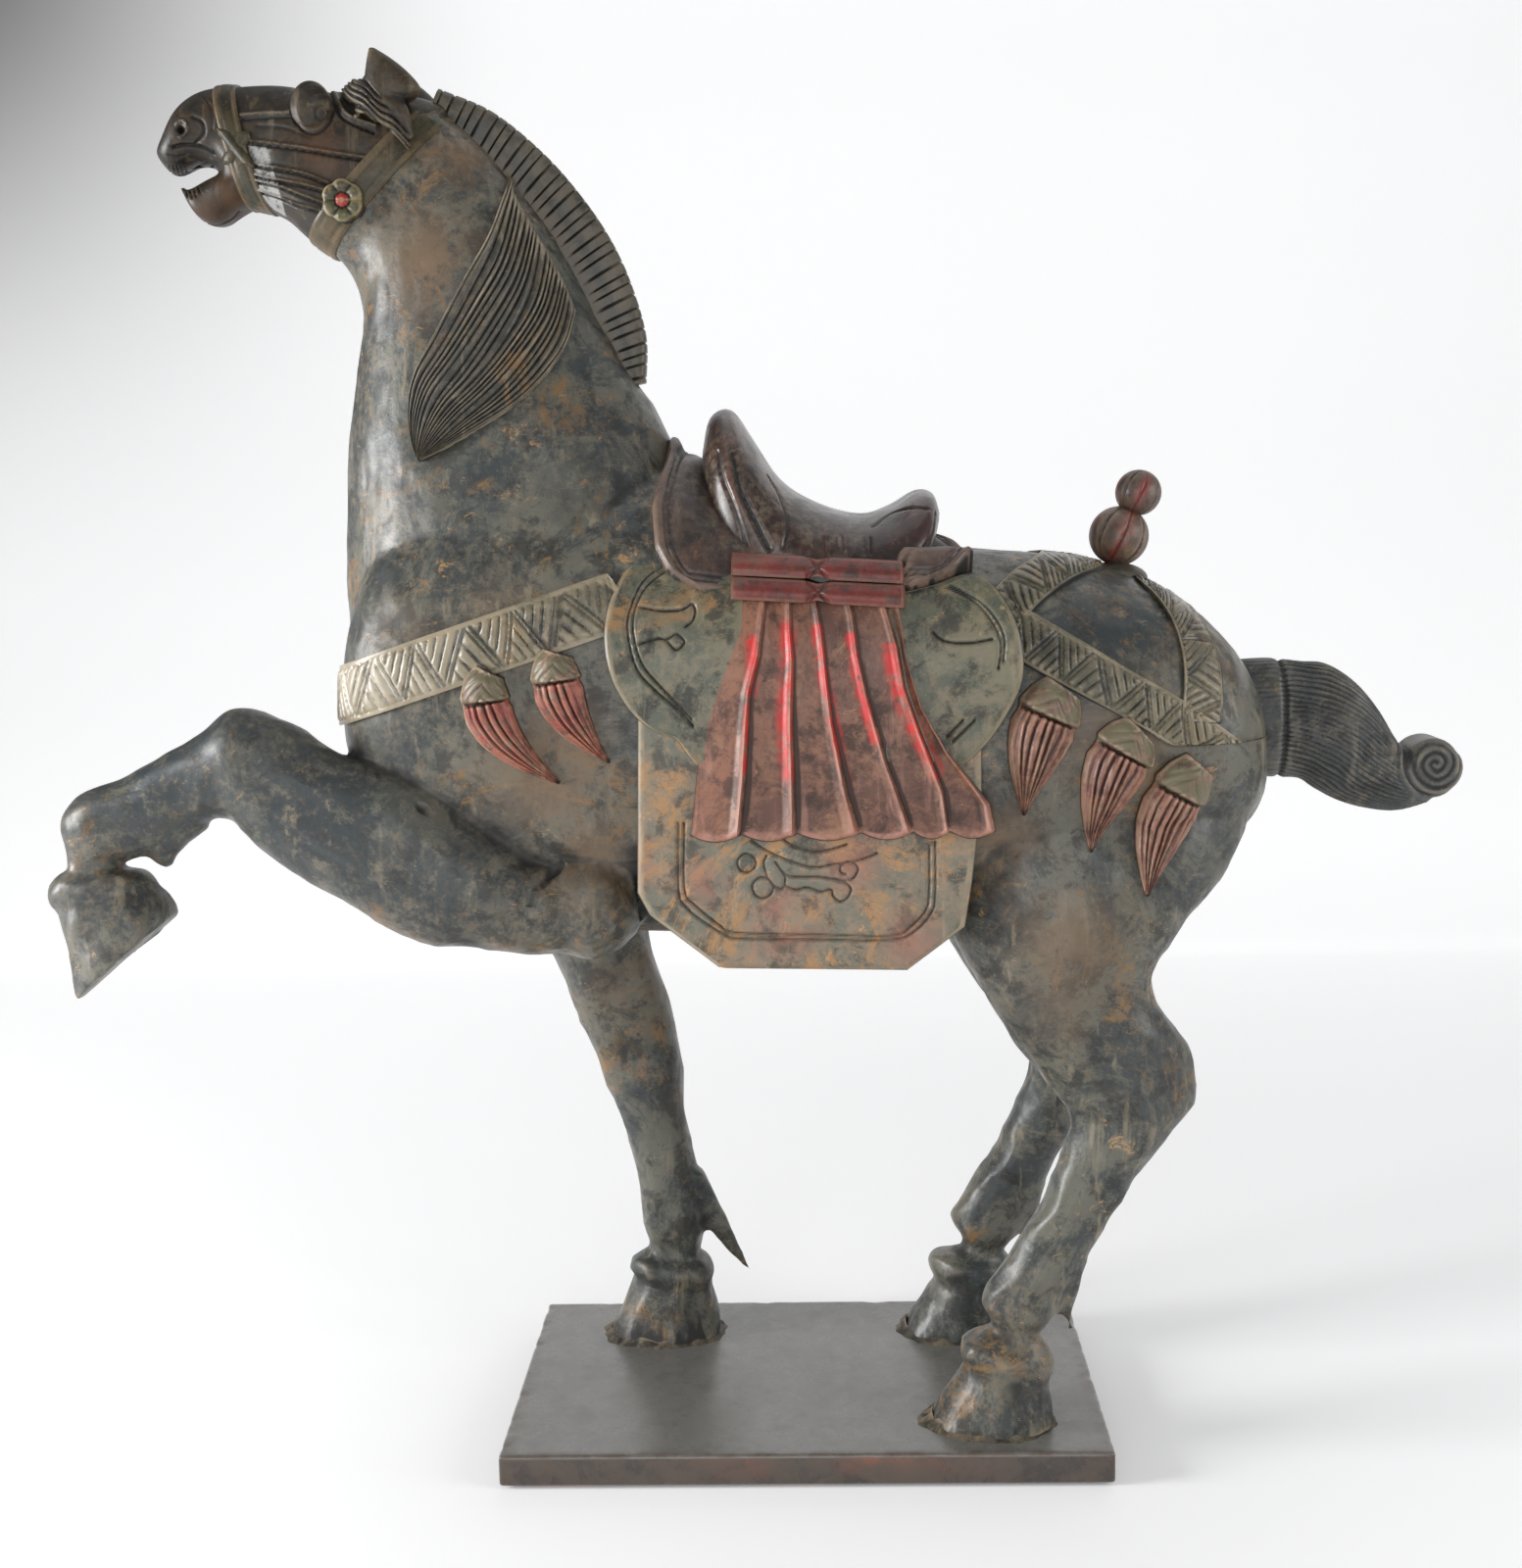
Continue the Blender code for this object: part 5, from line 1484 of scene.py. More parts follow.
@dataclass
class Mane:
    """The clipped crest with its notches, and the long lock on each side."""

    half_width: float = 10
    notches: int = 32
    strands: int = 20
    lock_height: float = 0.0095
    crest_grid: tuple[int, int] = (900, 24)
    lock_grid: tuple[int, int] = (130, 240)

    def crest(self) -> None:
        """A thin upright ridge, cut across by narrow notches."""
        stations, around = self.crest_grid
        t = np.linspace(0, 1, stations)
        root = smooth_line(CREST_ROOT, stations)
        edge = smooth_line(CREST_EDGE, stations)
        phase = (t * self.notches + 0.12 * np.sin(t * 61)) % 1.0
        notch = peak(phase - 0.5, 0.075)[:, None]
        rising = np.linspace(0, 1, around // 2)
        up = np.concatenate([rising, rising[::-1]])[None]
        side = np.repeat((-1.0, 1.0), around // 2)
        reach = up * (1 - 0.045 * notch * (up > 0.8))
        spots = root[:, None] + (edge - root)[:, None] * reach[..., None]
        half = self.half_width * (1 - 0.3 * up**5) * (1 - 0.24 * notch * ease((up - 0.12) * 6))
        half = half * np.where(up >= 1, 0.75, 1)
        mass = Mass()
        mass.tube(place(np.stack([spots[..., 0], side[None] * half, spots[..., 1]], axis=-1)))
        settle_piece(mass.plain("crest"), Finish.MANE, wear=0.0008, keep=0.7)

    def lock(self, skin: Skin, side: Side) -> None:
        """The long lock, combed from the crest to one point on the neck.

        Args:
            skin: The body.
            side: Which flank.
        """
        u, v = square(30, 30)
        rails = [smooth_line(rail, 60) for rail in (HAIR_FRONT, HAIR_BACK, HAIR_TOP)]
        front, back = along(rails[0], v), along(rails[1], v)
        top = along(rails[2], u)
        level = np.array(HAIR_TOP[0]) * (1 - u[..., None]) + np.array(HAIR_BACK[0]) * u[..., None]
        bow = np.sin(math.pi * u) * np.sin(math.pi * v) * 7
        spots = front * (1 - u[..., None]) + back * u[..., None] + (top - level) * (1 - v[..., None]) ** 1.6
        spots = spots + bow[..., None] * (0.5, -0.8)
        where = place(np.stack([spots[..., 0], u * 0, spots[..., 1]], axis=-1))
        points, ways = skin.flank(where[..., 0], where[..., 2], side)
        rows, columns = (grain(side, count) for count in self.lock_grid)
        ground = Ground(points, unit(ways + (0, side.value, 0))).finer(rows, columns)
        u, v = square(rows, columns)
        sway = u + 0.012 * np.sin(5 * v + 17 * u) + 0.008 * np.sin(31 * u)
        strand = np.abs(np.sin(math.pi * self.strands * sway)) ** 0.6
        tall = 0.82 + 0.18 * np.sin(np.floor(self.strands * sway) * 2.4)
        height = self.lock_height * rim(u, v, 0.04, 0.03) * (0.55 + 0.45 * (1 - v) ** 0.5)
        obj = ground.slab(f"hair_lock_{side.label}", height * (0.60 + 0.40 * strand * tall))
        settle_piece(obj, Finish.HAIR, wear=0.0007, keep=0.65)

    def build(self, skin: Skin) -> None:
        """Builds crest and locks on the body's skin."""
        self.crest()
        for side in Side:
            self.lock(skin, side)


@dataclass
class Saddle:
    """The high-fronted saddle and the blanket under it."""

    blanket_proud: float = 0.012
    blanket_turn: float = 47
    blanket_root: float = 0.034
    blanket_grid: tuple[int, int] = (240, 150)
    voxel: float = 0.0017
    spread: float = 0.004

    def seat(self) -> None:
        """The saddle, with its rim lines, creases and cantle."""
        mass = Mass()
        mass.loft(SADDLE_FORM, 2.6, FINE_RING)
        obj = mass.fuse("saddle", self.voxel, self.spread)
        carve(obj, (
            Cut(((732, 461), (738, 489), (750, 519), (762, 559)), 0.0030, 0.0016),
            Cut(((747, 461), (756, 501), (771, 532), (784, 559)), 0.0045, 0.0030),
            Cut(((784, 486), (796, 507), (804, 532), (800, 559)), 0.0032, 0.0018),
            Cut(((891, 537), (909, 524), (931, 518), (947, 519)), 0.0032, 0.0020),
            Cut(((955, 524), (951, 547), (937, 569)), 0.0032, 0.0020),
            *(Cut(((x, 548), (x + 1, 566)), 0.0018, 0.0011) for x in (841, 846, 854, 860, 882, 888)),
        ))
        settle_piece(obj, Finish.SADDLE, wear=0.0012, keep=0.36)

    def over_lobes(self, away: Array) -> float:
        """How far along a ray from the long axis the blanket must be to lie over the side boards' lobes."""
        reach = np.linspace(80, 190, 111)
        clear = reach * abs(away[1]) > tack_depth(500 + reach * away[2]) + 8
        return float(reach[clear.argmax()]
            if abs(away[1]) > 0.45 else 0) * SHARE - self.blanket_proud + 0.003

    def blanket(self, skin: Skin) -> None:
        """One sheet over the back with a double groove inside its edge.

        Args:
            skin: The body.
        """
        u, v = square(60, 24)
        t = 2 * v - 1
        front = np.interp(np.abs(t), *zip(*BLANKET_FRONT))
        rear = np.interp(np.abs(t), *zip(*BLANKET_REAR))
        x = front * (1 - u) + rear * u
        angle = np.radians(90 + self.blanket_turn * t)
        away = np.stack([angle * 0, np.cos(angle), np.sin(angle)], axis=-1)
        axis = place(np.stack([x, x * 0, x * 0 + 500], axis=-1))
        points = np.empty_like(axis)
        for i in np.ndindex(x.shape):
            hit = skin.tree.ray_cast(Vector(axis[i] + away[i] * 0.6), Vector(-away[i]))[0]
            points[i] = hit or axis[i]
            near = np.linalg.norm(points[i] - axis[i])
            share = ease((x[i] - 62) / 16) * ease((abs(away[i][1]) - 0.50) / 0.12)
            points[i] = axis[i] + away[i] * (near + share * max(0.0, self.over_lobes(away[i]) - near))
        ground = Ground(points, away).finer(*self.blanket_grid)
        u, v = square(*self.blanket_grid)
        t = np.abs(2 * v - 1)
        long = (np.interp(t, *zip(*BLANKET_REAR)) - np.interp(t, *zip(*BLANKET_FRONT))) * SHARE
        inset = np.minimum(np.minimum(u, 1 - u) * long, (1 - t) * 0.175)
        grooves = sum(peak(inset - at, 0.0016) for at in (0.0080, 0.0128))
        height = self.blanket_proud * (0.55 + 0.45 * np.sqrt(ease(inset / 0.004))) - 0.0016 * grooves
        obj = ground.slab("saddle_blanket", height, self.blanket_root)
        settle_piece(obj, Finish.BLANKET, wear=0.0008, keep=0.5)

    def build(self, skin: Skin) -> None:
        """Builds saddle and blanket."""
        self.seat()
        self.blanket(skin)


def panel(outline: Union[Array, Rows], side: Side, proud: float, thickness: float, name: str,
          rows: int, columns: int) -> Piece:
    """A board of the outline's shape in the side view, bent over the flank.

    Args:
        outline: Points round the board as x and z, from its upper left corner down and up again.
        side: Which flank.
        proud: Thousandths that it stands over the saddlery's surface.
        thickness: Its thickness in thousandths.
        name: Name of the piece.
        rows: Grid rows.
        columns: Grid columns.

    Returns:
        The board.
    """
    line = np.array(outline, float)
    low, high = line[:, 1].min(), line[:, 1].max()
    z = np.linspace(low, high, rows)
    closed = np.concatenate([line, line[:1]])
    crossings = []
    for level in np.clip(z, low + 0.01, high - 0.01):
        a, b = closed[:-1], closed[1:]
        hit = (a[:, 1] - level) * (b[:, 1] - level) <= 0
        share = (level - a[hit, 1]) / np.where(b[hit, 1] == a[hit, 1], 1, b[hit, 1] - a[hit, 1])
        found = a[hit, 0] + share * (b[hit, 0] - a[hit, 0])
        crossings.append((found.min(), found.max()))
    ends = np.array(crossings)
    u = np.linspace(0, 1, columns)
    x = ends[:, :1] * (1 - u) + ends[:, 1:] * u
    zz = np.repeat(z[:, None], columns, axis=1)
    flat = np.stack([x.ravel(), zz.ravel()], axis=1)
    inset = distance_to_line(flat, closed).reshape(x.shape) * SHARE
    points = place(np.stack([x, side.value * (tack_depth(zz) + proud), zz], axis=-1))
    ground = facing(points, side)
    drop = BOARD_EDGE * 0.45 * (1 - ease(inset / BOARD_EDGE)) ** 2
    return ground.slab(name, -drop, thickness * SHARE)


@dataclass
class SideBoards:
    """The flaps beside the girth, with the rounded lobes before and behind them."""

    reddened: Rows = (
        (800, 940, 60, 0.8), (870, 880, 50, 0.6), (700, 700, 50, 0.5), (720, 900, 40, 0.6),
        (930, 960, 50, 0.6), (640, 880, 50, 0.5),
    )

    def build(self) -> None:
        """Builds board and lobes on both flanks."""
        for side in Side:
            for name, line, proud, thickness, rows, columns, lines, finish, keep in (
                ("side_board", SIDE_BOARD, 0, 34, 235, 205, self.board_lines(), Finish.BOARD, 0.45),
                ("front_lobe", smooth_line(FRONT_LOBE, 80), 5, 24, 150, 95, self.front_lines(), Finish.LOBE, 0.6),
                ("rear_lobe", smooth_line(REAR_LOBE, 80), 5, 24, 130, 95, self.rear_lines(), Finish.LOBE, 0.6),
            ):
                label = f"{name}_{side.label}"
                board = panel(line, side, proud, thickness, label, grain(side, rows), grain(side, columns))
                carve(board, lines, (side,))
                if finish is Finish.BOARD:
                    blots(board, "blush", self.reddened)
                settle_piece(board, finish, wear=0.0017, keep=keep)

    def board_lines(self) -> tuple[Cut, ...]:
        """The flap's border and scrolls."""
        def ring(x: float, y: float, r: float) -> Pixels:
            """A circle of pixels."""
            return [(x + r * math.cos(a), y + r * math.sin(a)) for a in np.linspace(0, CIRCLE, 13)]

        return cuts(
            0.0024, 0.0020,
            ((692, 840), (692, 908), (699, 925), (718, 941), (744, 956), (758, 958), (835, 959),
                (911, 959), (935, 949), (951, 930), (954, 911), (954, 859)),
            ((698, 840), (698, 908), (708, 923), (734, 944), (751, 952), (835, 954), (911, 955),
                (930, 945), (945, 928), (948, 908), (948, 862)),
            ring(761.5, 881, 9.4), ring(778, 906, 10.6),
            ((782, 873), (779, 882), (782, 893), (787, 902), (796, 907), (799, 906), (801, 897),
                (797, 890), (791, 880)),
            ((791, 880), (797, 888), (805, 894), (819, 895), (836, 895), (850, 897), (862, 898),
                (870, 897), (875, 888), (872, 881), (864, 880), (857, 885), (858, 891), (863, 892)),
            ((803, 905), (812, 908), (822, 906), (829, 907), (838, 910), (848, 908), (850, 915),
                (857, 920), (864, 917), (868, 908), (863, 901), (855, 899)),
            ((767, 858), (782, 868), (805, 878), (829, 885), (852, 882), (876, 878), (895, 871)),
            ((791, 849), (805, 861), (824, 868), (843, 868), (864, 862)),
        )

    def front_lines(self) -> tuple[Cut, ...]:
        """The front lobe's double border and scroll."""
        return cuts(
            0.0024, 0.0022,
            ((689, 571), (658, 590), (643, 620), (640, 645), (649, 682), (670, 706), (692, 724),
                (707, 741)),
            ((692, 574), (661, 596), (647, 623), (646, 648), (655, 678), (676, 703), (706, 734)),
            ((652, 619), (673, 623), (695, 622), (706, 616), (709, 623), (706, 634), (699, 639)),
            ((652, 657), (670, 652), (681, 652), (690, 647), (698, 655), (690, 663), (681, 655)),
        )

    def rear_lines(self) -> tuple[Cut, ...]:
        """The rear lobe's double border, scroll and strokes."""
        return cuts(
            0.0024, 0.0022,
            ((970, 597), (1001, 614), (1019, 636), (1025, 654), (1024, 675)),
            ((967, 599), (995, 614), (1013, 636), (1021, 657), (1019, 682)),
            ((952, 645), (964, 654), (989, 656), (1013, 652)),
            ((966, 752), (983, 735)),
            ((972, 757), (995, 735)),
        )


@dataclass
class PleatedCloth:
    """The pleated cloth under the girth bands, and the two knotted bands."""

    rails: tuple = (
        ((747, 642), (732, 685), (716, 737), (706, 841)),
        ((776, 669), (767, 706), (762, 798)),
        ((808, 645), (811, 675), (810, 737), (813, 828)),
        ((840, 645), (845, 691), (851, 737), (866, 807), (877, 841)),
        ((872, 627), (877, 669), (888, 715), (906, 776), (929, 838)),
        ((918, 660), (924, 700), (940, 746), (964, 807), (970, 853)),
        ((918, 620), (924, 669), (940, 721), (967, 767), (1010, 819), (1019, 859)),
    )
    reds: tuple = (
        (((736, 666), (742, 648), (750, 628)), 9), (((766, 652), (768, 676), (766, 706)), 8),
        (((804, 640), (803, 690), (800, 735), (804, 790)), 10),
        (((834, 642), (838, 680), (846, 712), (852, 745), (860, 775)), 8),
        (((868, 650), (874, 690), (883, 725), (893, 755)), 7),
        (((907, 662), (915, 700), (926, 730), (940, 758), (957, 788)), 10),
        (((924, 650), (938, 700)), 4), (((762, 720), (760, 790)), 4),
    )
    top: float = 612
    hem: float = 446
    depth: float = 0.0125
    root: float = 0.0120
    grid: tuple[int, int] = (130, 32)
    band_grid: tuple[int, int] = (26, 150)
    band_levels: tuple = ((637, 622), (621, 606))
    band_ends: tuple[float, float] = (-41, 78)

    def rail(self, pixels: Pixels, levels: Array) -> Array:
        """A ridge line's x at each level, in thousandths."""
        spots = SIGHT.at_depth(pixels, SADDLERY_PLANE)
        x, z = spots[:, 0] / SHARE, (spots[:, 2] - SOLE_LEVEL) / SHARE
        slope = np.polyfit(z, x, 1)[0]
        beyond = np.where(levels > z[0], x[0] + (levels - z[0]) * slope, x[-1] + (levels - z[-1]) * slope)
        return np.where((levels > z[0]) | (levels < z[-1]), beyond, np.interp(levels, z[::-1], x[::-1]))

    def cloth(self, side: Side) -> None:
        """The pleats, each rising to a sharp ridge and dropping steeply beside it."""
        rows, across = (grain(side, count) for count in self.grid)
        pleats = len(self.rails) - 1
        levels = np.linspace(self.top, self.hem, rows)
        rails = np.stack([self.rail(r, levels) for r in self.rails])
        share = np.linspace(0, 1, across, endpoint=False)
        columns = [rails[k][:, None] * (1 - share) + rails[k + 1][:, None] * share for k in range(pleats)]
        x = np.concatenate([*columns, rails[-1][:, None]], axis=1)
        rise = 0.10 + 0.62 * share**1.4 + 0.30 * ease((share - 0.70) / 0.18)
        lift = np.where(share < 0.90, rise, 0.12 + 0.88 * (1 - ease((share - 0.90) / 0.10)))
        fold = np.concatenate([np.tile(lift, pleats), [0.12]])
        v = np.linspace(0, 1, rows)[:, None]
        z = np.repeat(levels[:, None], x.shape[1], axis=1)
        grow = 0.35 + 0.65 * v
        scallop = np.sin(math.pi * np.concatenate([np.tile(share, pleats), [1.0]]))[None]
        z = z - 5 * scallop * ease((v - 0.8) / 0.2)
        points = place(np.stack([x, side.value * (tack_depth(z) + 4), z], axis=-1))
        ground = facing(points, side)
        u = np.repeat(np.linspace(0, 1, x.shape[1])[None], rows, axis=0)
        height = self.depth * fold[None] * grow * rim(u, v * np.ones_like(u), 0.02, 0.02)
        obj = ground.slab(f"pleated_cloth_{side.label}", height, self.root)
        streaks(obj, "accent", self.reds)
        settle_piece(obj, Finish.CLOTH, wear=0.0019, keep=0.6)

    def bands(self, side: Side) -> None:
        """Two rolled bands over the cloth's top, each pinched by a crossing in its middle."""
        for number, (high, low) in enumerate(self.band_levels, 1):
            u, v = square(*self.band_grid)
            x = self.band_ends[0] + (self.band_ends[1] - self.band_ends[0]) * u
            pinch = peak(u - 0.5, 0.05)
            middle = (high + low) / 2 - 8 * u
            z = middle + (0.5 - v) * (high - low) * (1 - 0.25 * pinch)
            points = place(np.stack([x, side.value * (tack_depth(z) + 2), z], axis=-1))
            ground = facing(points, side)
            lines = [peak((u - 0.5) * 7.9 + way * (v - 0.5), 0.16) for way in (-1, 1)]
            cross = np.maximum(*lines) * (np.abs(u - 0.5) < 0.07)
            roll = 0.0095 + 0.0045 * np.sin(math.pi * v) * (1 - 0.4 * pinch) - 0.0022 * cross
            obj = ground.slab(f"girth_band_{number}_{side.label}", roll * rim(u, v, 0.02, 0.0), 0.018)
            mark(obj, "accent", np.full(len(obj.data.vertices), 0.42))
            settle_piece(obj, Finish.BAND, wear=0.0016)

    def build(self) -> None:
        """Builds cloth and bands on both flanks."""
        for side in Side:
            self.cloth(side)
            self.bands(side)


def hatch(run: Array, across: Array, tooth: float, lines: float = 2.5) -> Array:
    """A zig-zag of hatched triangles along a strap, as groove depth from 0 to 1.

    Args:
        run: Metres along the strap.
        across: -1 to 1 across it.
        tooth: Length of one triangle pair in metres.
        lines: Hatch lines in half a triangle.

    Returns:
        Groove depths.
    """
    part = (run / tooth) % 1.0
    fold = 2 * np.abs(part - 0.5)
    zig = np.abs(fold - (across + 1) / 2)
    edge = peak(zig, 0.09)
    upper = (across + 1) / 2 > fold
    slant = part * 2 + np.where(upper, 0.5, -0.5) * (across + 1)
    fine = wave(lines * slant) ** 5
    return np.maximum(edge, 0.85 * fine) * (np.abs(across) < 0.86)


@dataclass
class Harness:
    """Chest strap, croup straps, breeching and the tassels that hang from them."""

    strap_proud: float = 0.0050
    rump_proud: float = 0.0038
    tassel_proud: float = 0.015
    step: float = 0.0011
    groove: float = 0.0019
    border_groove: float = 0.0012
    chest: tuple[float, ...] = (-230, 570, 17.9, 20, 136)
    chest_reach: Spot = (122, 150, 600)
    chest_rows: int = 200
    chest_tooth: float = 0.043
    rump_tooth: float = 0.040
    columns: int = 31
    tassel_grid: tuple[int, int] = (96, 60)
    smoothing: int = 8

    def belt(self, skin: Skin, x: float, z: float, slope: float, half: float, turn: float,
             reach: Spot, count: int) -> Ground:
        """Ground for a strap in a sloping plane round a form.

        Args:
            skin: The form.
            x: The centre's x in thousandths.
            z: The centre's z in thousandths.
            slope: The plane's slope in degrees.
            half: Half width in thousandths.
            turn: Degrees to each side of the front.
            reach: Where rays start, to the front, side and back, in thousandths.
            count: Rows.

        Returns:
            Rows along the strap, columns across it.
        """
        tilt = math.radians(slope)
        run = np.array((math.cos(tilt), 0, math.sin(tilt)))
        across = np.array((-math.sin(tilt), 0, math.cos(tilt)))
        centre = place((x, 0, z))
        angles = np.radians(np.linspace(-turn, turn, count))
        shares = np.linspace(-1, 1, 7)
        points, ways = np.empty((count, 7, 3)), np.empty((count, 7, 3))
        for i, angle in enumerate(angles):
            away = -run * math.cos(angle) + np.array((0, math.sin(angle), 0))
            ahead = reach[0] if math.cos(angle) > 0 else reach[2]
            begin = SHARE / math.hypot(math.cos(angle) / ahead, math.sin(angle) / reach[1])
            for j, share in enumerate(shares):
                start = centre + across * half * SHARE * share + away * begin
                hit = skin.tree.ray_cast(Vector(start), Vector(-away))[0]
                points[i, j], ways[i, j] = hit or start, away
        for _ in range(self.smoothing):
            points[1:-1] = points[1:-1] / 2 + (points[:-2] + points[2:]) / 4
        return Ground(points, ways)

    def level_spot(self, skin: Skin, x: float, z: float, side: Side) -> tuple[Array, Array]:
        """The skin on the upper flank at x and z, found by turning a ray about the long axis.

        Args:
            skin: The body.
            x: Place in thousandths.
            z: Height in thousandths.
            side: Which flank.

        Returns:
            The point and the way out of it.
        """
        low, high = 0.0, math.pi / 2
        axis = place((x, 0, 500))
        level = place((x, 0, z))[2]
        for _ in range(14):
            tilt = (low + high) / 2
            away = np.array((0, side.value * math.cos(tilt), math.sin(tilt)))
            hit = skin.tree.ray_cast(Vector(axis + away * 0.6), Vector(-away))[0]
            found = np.array(hit or axis)
            low, high = (tilt, high) if found[2] < level else (low, tilt)
        return found, away

    def rump_ground(self, skin: Skin, line: Sequence[Spot], side: Side) -> Ground:
        """Ground for a strap over the rump.

        Args:
            skin: The body.
            line: Rows of x, level and half width in thousandths.
            side: Which flank.

        Returns:
            Rows along the strap, columns across it.
        """
        rows = smooth_rows(line, 5)
        runs = unit(np.gradient(rows[:, :2], axis=0))
        points, ways = np.empty((len(rows), 5, 3)), np.empty((len(rows), 5, 3))
        for i, (x, z, half) in enumerate(rows):
            for j, share in enumerate(np.linspace(-1, 1, 5)):
                spot = self.level_spot(skin, x - runs[i, 1] * half * share, z + runs[i, 0] * half * share,
                    side)
                points[i, j], ways[i, j] = spot
        return Ground(points, ways)

    def strap(self, name: str, ground: Ground, proud: float, tooth: float, keep: float) -> None:
        """A strap with a hatched zig-zag, pale edges and a painted highlight on its left end.

        Args:
            name: Name of the piece.
            ground: What it lies on.
            proud: Its height over the wood in metres.
            tooth: Length of one triangle pair in metres.
            keep: Share of its triangles that it keeps.
        """
        length = np.linalg.norm(np.diff(ground.points[:, ground.size()[1] // 2], axis=0), axis=1).sum()
        rows, columns = int(length / self.step), self.columns
        fine = ground.finer(rows, columns)
        across = square(rows, columns)[0] * 2 - 1
        steps = np.linalg.norm(np.diff(fine.points[:, columns // 2], axis=0), axis=1)
        run = np.concatenate([[0.0], np.cumsum(steps)])[:, None] * (1 + 0.02 * across)
        run = run + 0.003 * np.sin(run * 70)
        sunk = self.groove * hatch(run, across, tooth) + self.border_groove * peak(np.abs(across) - 0.86,
            0.05)
        height = proud * (1 - 0.35 * np.abs(across) ** 8) - sunk
        obj = fine.slab(name, height)
        shown = SIGHT.pixels(points_of(obj.data))
        # Painted highlight: a pale blush on the strap's left end, where the light from the left falls.
        pale = ripple(points_of(obj.data), 0.05, 12) * 0.35 + 0.6
        mark(obj, "blush", pale * ease((490 - shown[:, 0]) / 60) * (shown[:, 0] < 490))
        settle_piece(obj, Finish.STRAP, wear=0.0010, keep=keep)

    def tassel(self, name: str, skin: Skin, spec: tuple, side: Side, flutes: int) -> None:
        """A hanging tassel with a fluted body under a domed cap.

        Args:
            name: Name of the piece.
            skin: The body.
            spec: Cap, middle, tip and half width in thousandths.
            side: Which flank.
            flutes: Flutes across it.
        """
        cap, middle, tip = (np.array(p, float) for p in spec[:3])
        bend = middle * 2 - (cap + tip) / 2

        def spots(u: Array, v: Array) -> Array:
            """Places on the tassel in the side view."""
            v = v[..., None]
            point = cap * (1 - v) ** 2 + bend * 2 * v * (1 - v) + tip * v**2
            run = unit((bend - cap) * (1 - v) + (tip - bend) * v)
            across = np.stack([-run[..., 1], run[..., 0]], axis=-1)
            half = spec[3] * np.interp(v[..., 0], *zip(*TASSEL_SHAPE))
            return point + across * ((1 - 2 * u) * half)[..., None]

        u, v = square(26, 14)
        coarse = spots(u, v)
        where = place(np.stack([coarse[..., 0], u * 0, coarse[..., 1]], axis=-1))
        points, ways = skin.flank(where[..., 0], where[..., 2], side)
        grid = [grain(side, count) for count in self.tassel_grid]
        ground = Ground(points, unit(ways * 0.5 + (0, side.value, 0))).finer(*grid)
        u, v = square(*grid)
        dome = np.sqrt(np.clip(np.sin(math.pi * u), 0, 1))
        below = v > 0.29
        slot = peak(v - 0.285, 0.012)
        bend_u = u + 0.016 * np.sin(17 * u + 5 * v + spec[3]) + 0.008 * np.sin(43 * u + 9 * v)
        flute = wave(flutes * bend_u) ** 1.5 * below
        chevron = wave(9 * v - 4.4 * np.abs(u - 0.5)) ** 3 * ~below
        height = self.tassel_proud * dome * np.minimum(1.0,
            0.3 + 2 * (1 - v)) * (0.75 + 0.25 * ease(v / 0.1))
        height = height * (1 - 0.20 * flute - 0.08 * chevron - 0.40 * slot + 0.10 * ~below)
        obj = ground.slab(name, height)
        mark(obj, "accent", ~below)
        mark(obj, "blush", below * (0.55 if flutes < 8 else 0.20) * (1 - 0.6 * v))
        settle_piece(obj, Finish.TASSEL, wear=0.0013, keep=0.75)

    def build(self, skin: Skin) -> None:
        """Builds all straps and tassels on the body's skin."""
        chest = self.belt(skin, *self.chest, self.chest_reach, self.chest_rows)
        self.strap("chest_strap", chest, self.strap_proud, self.chest_tooth, 0.45)
        for side in Side:
            label = side.label
            for number, line in enumerate((BREECHING, *CROUP_STRAPS), 1):
                ground = self.rump_ground(skin, line, side)
                self.strap(f"rump_strap_{number}_{label}", ground, self.rump_proud, self.rump_tooth, 0.6)
            for number, spec in enumerate(FRONT_TASSELS, 1):
                self.tassel(f"breast_tassel_{number}_{label}", skin, spec, side, 6)
            for number, spec in enumerate(REAR_TASSELS, 1):
                self.tassel(f"rump_tassel_{number}_{label}", skin, spec, side, 8)


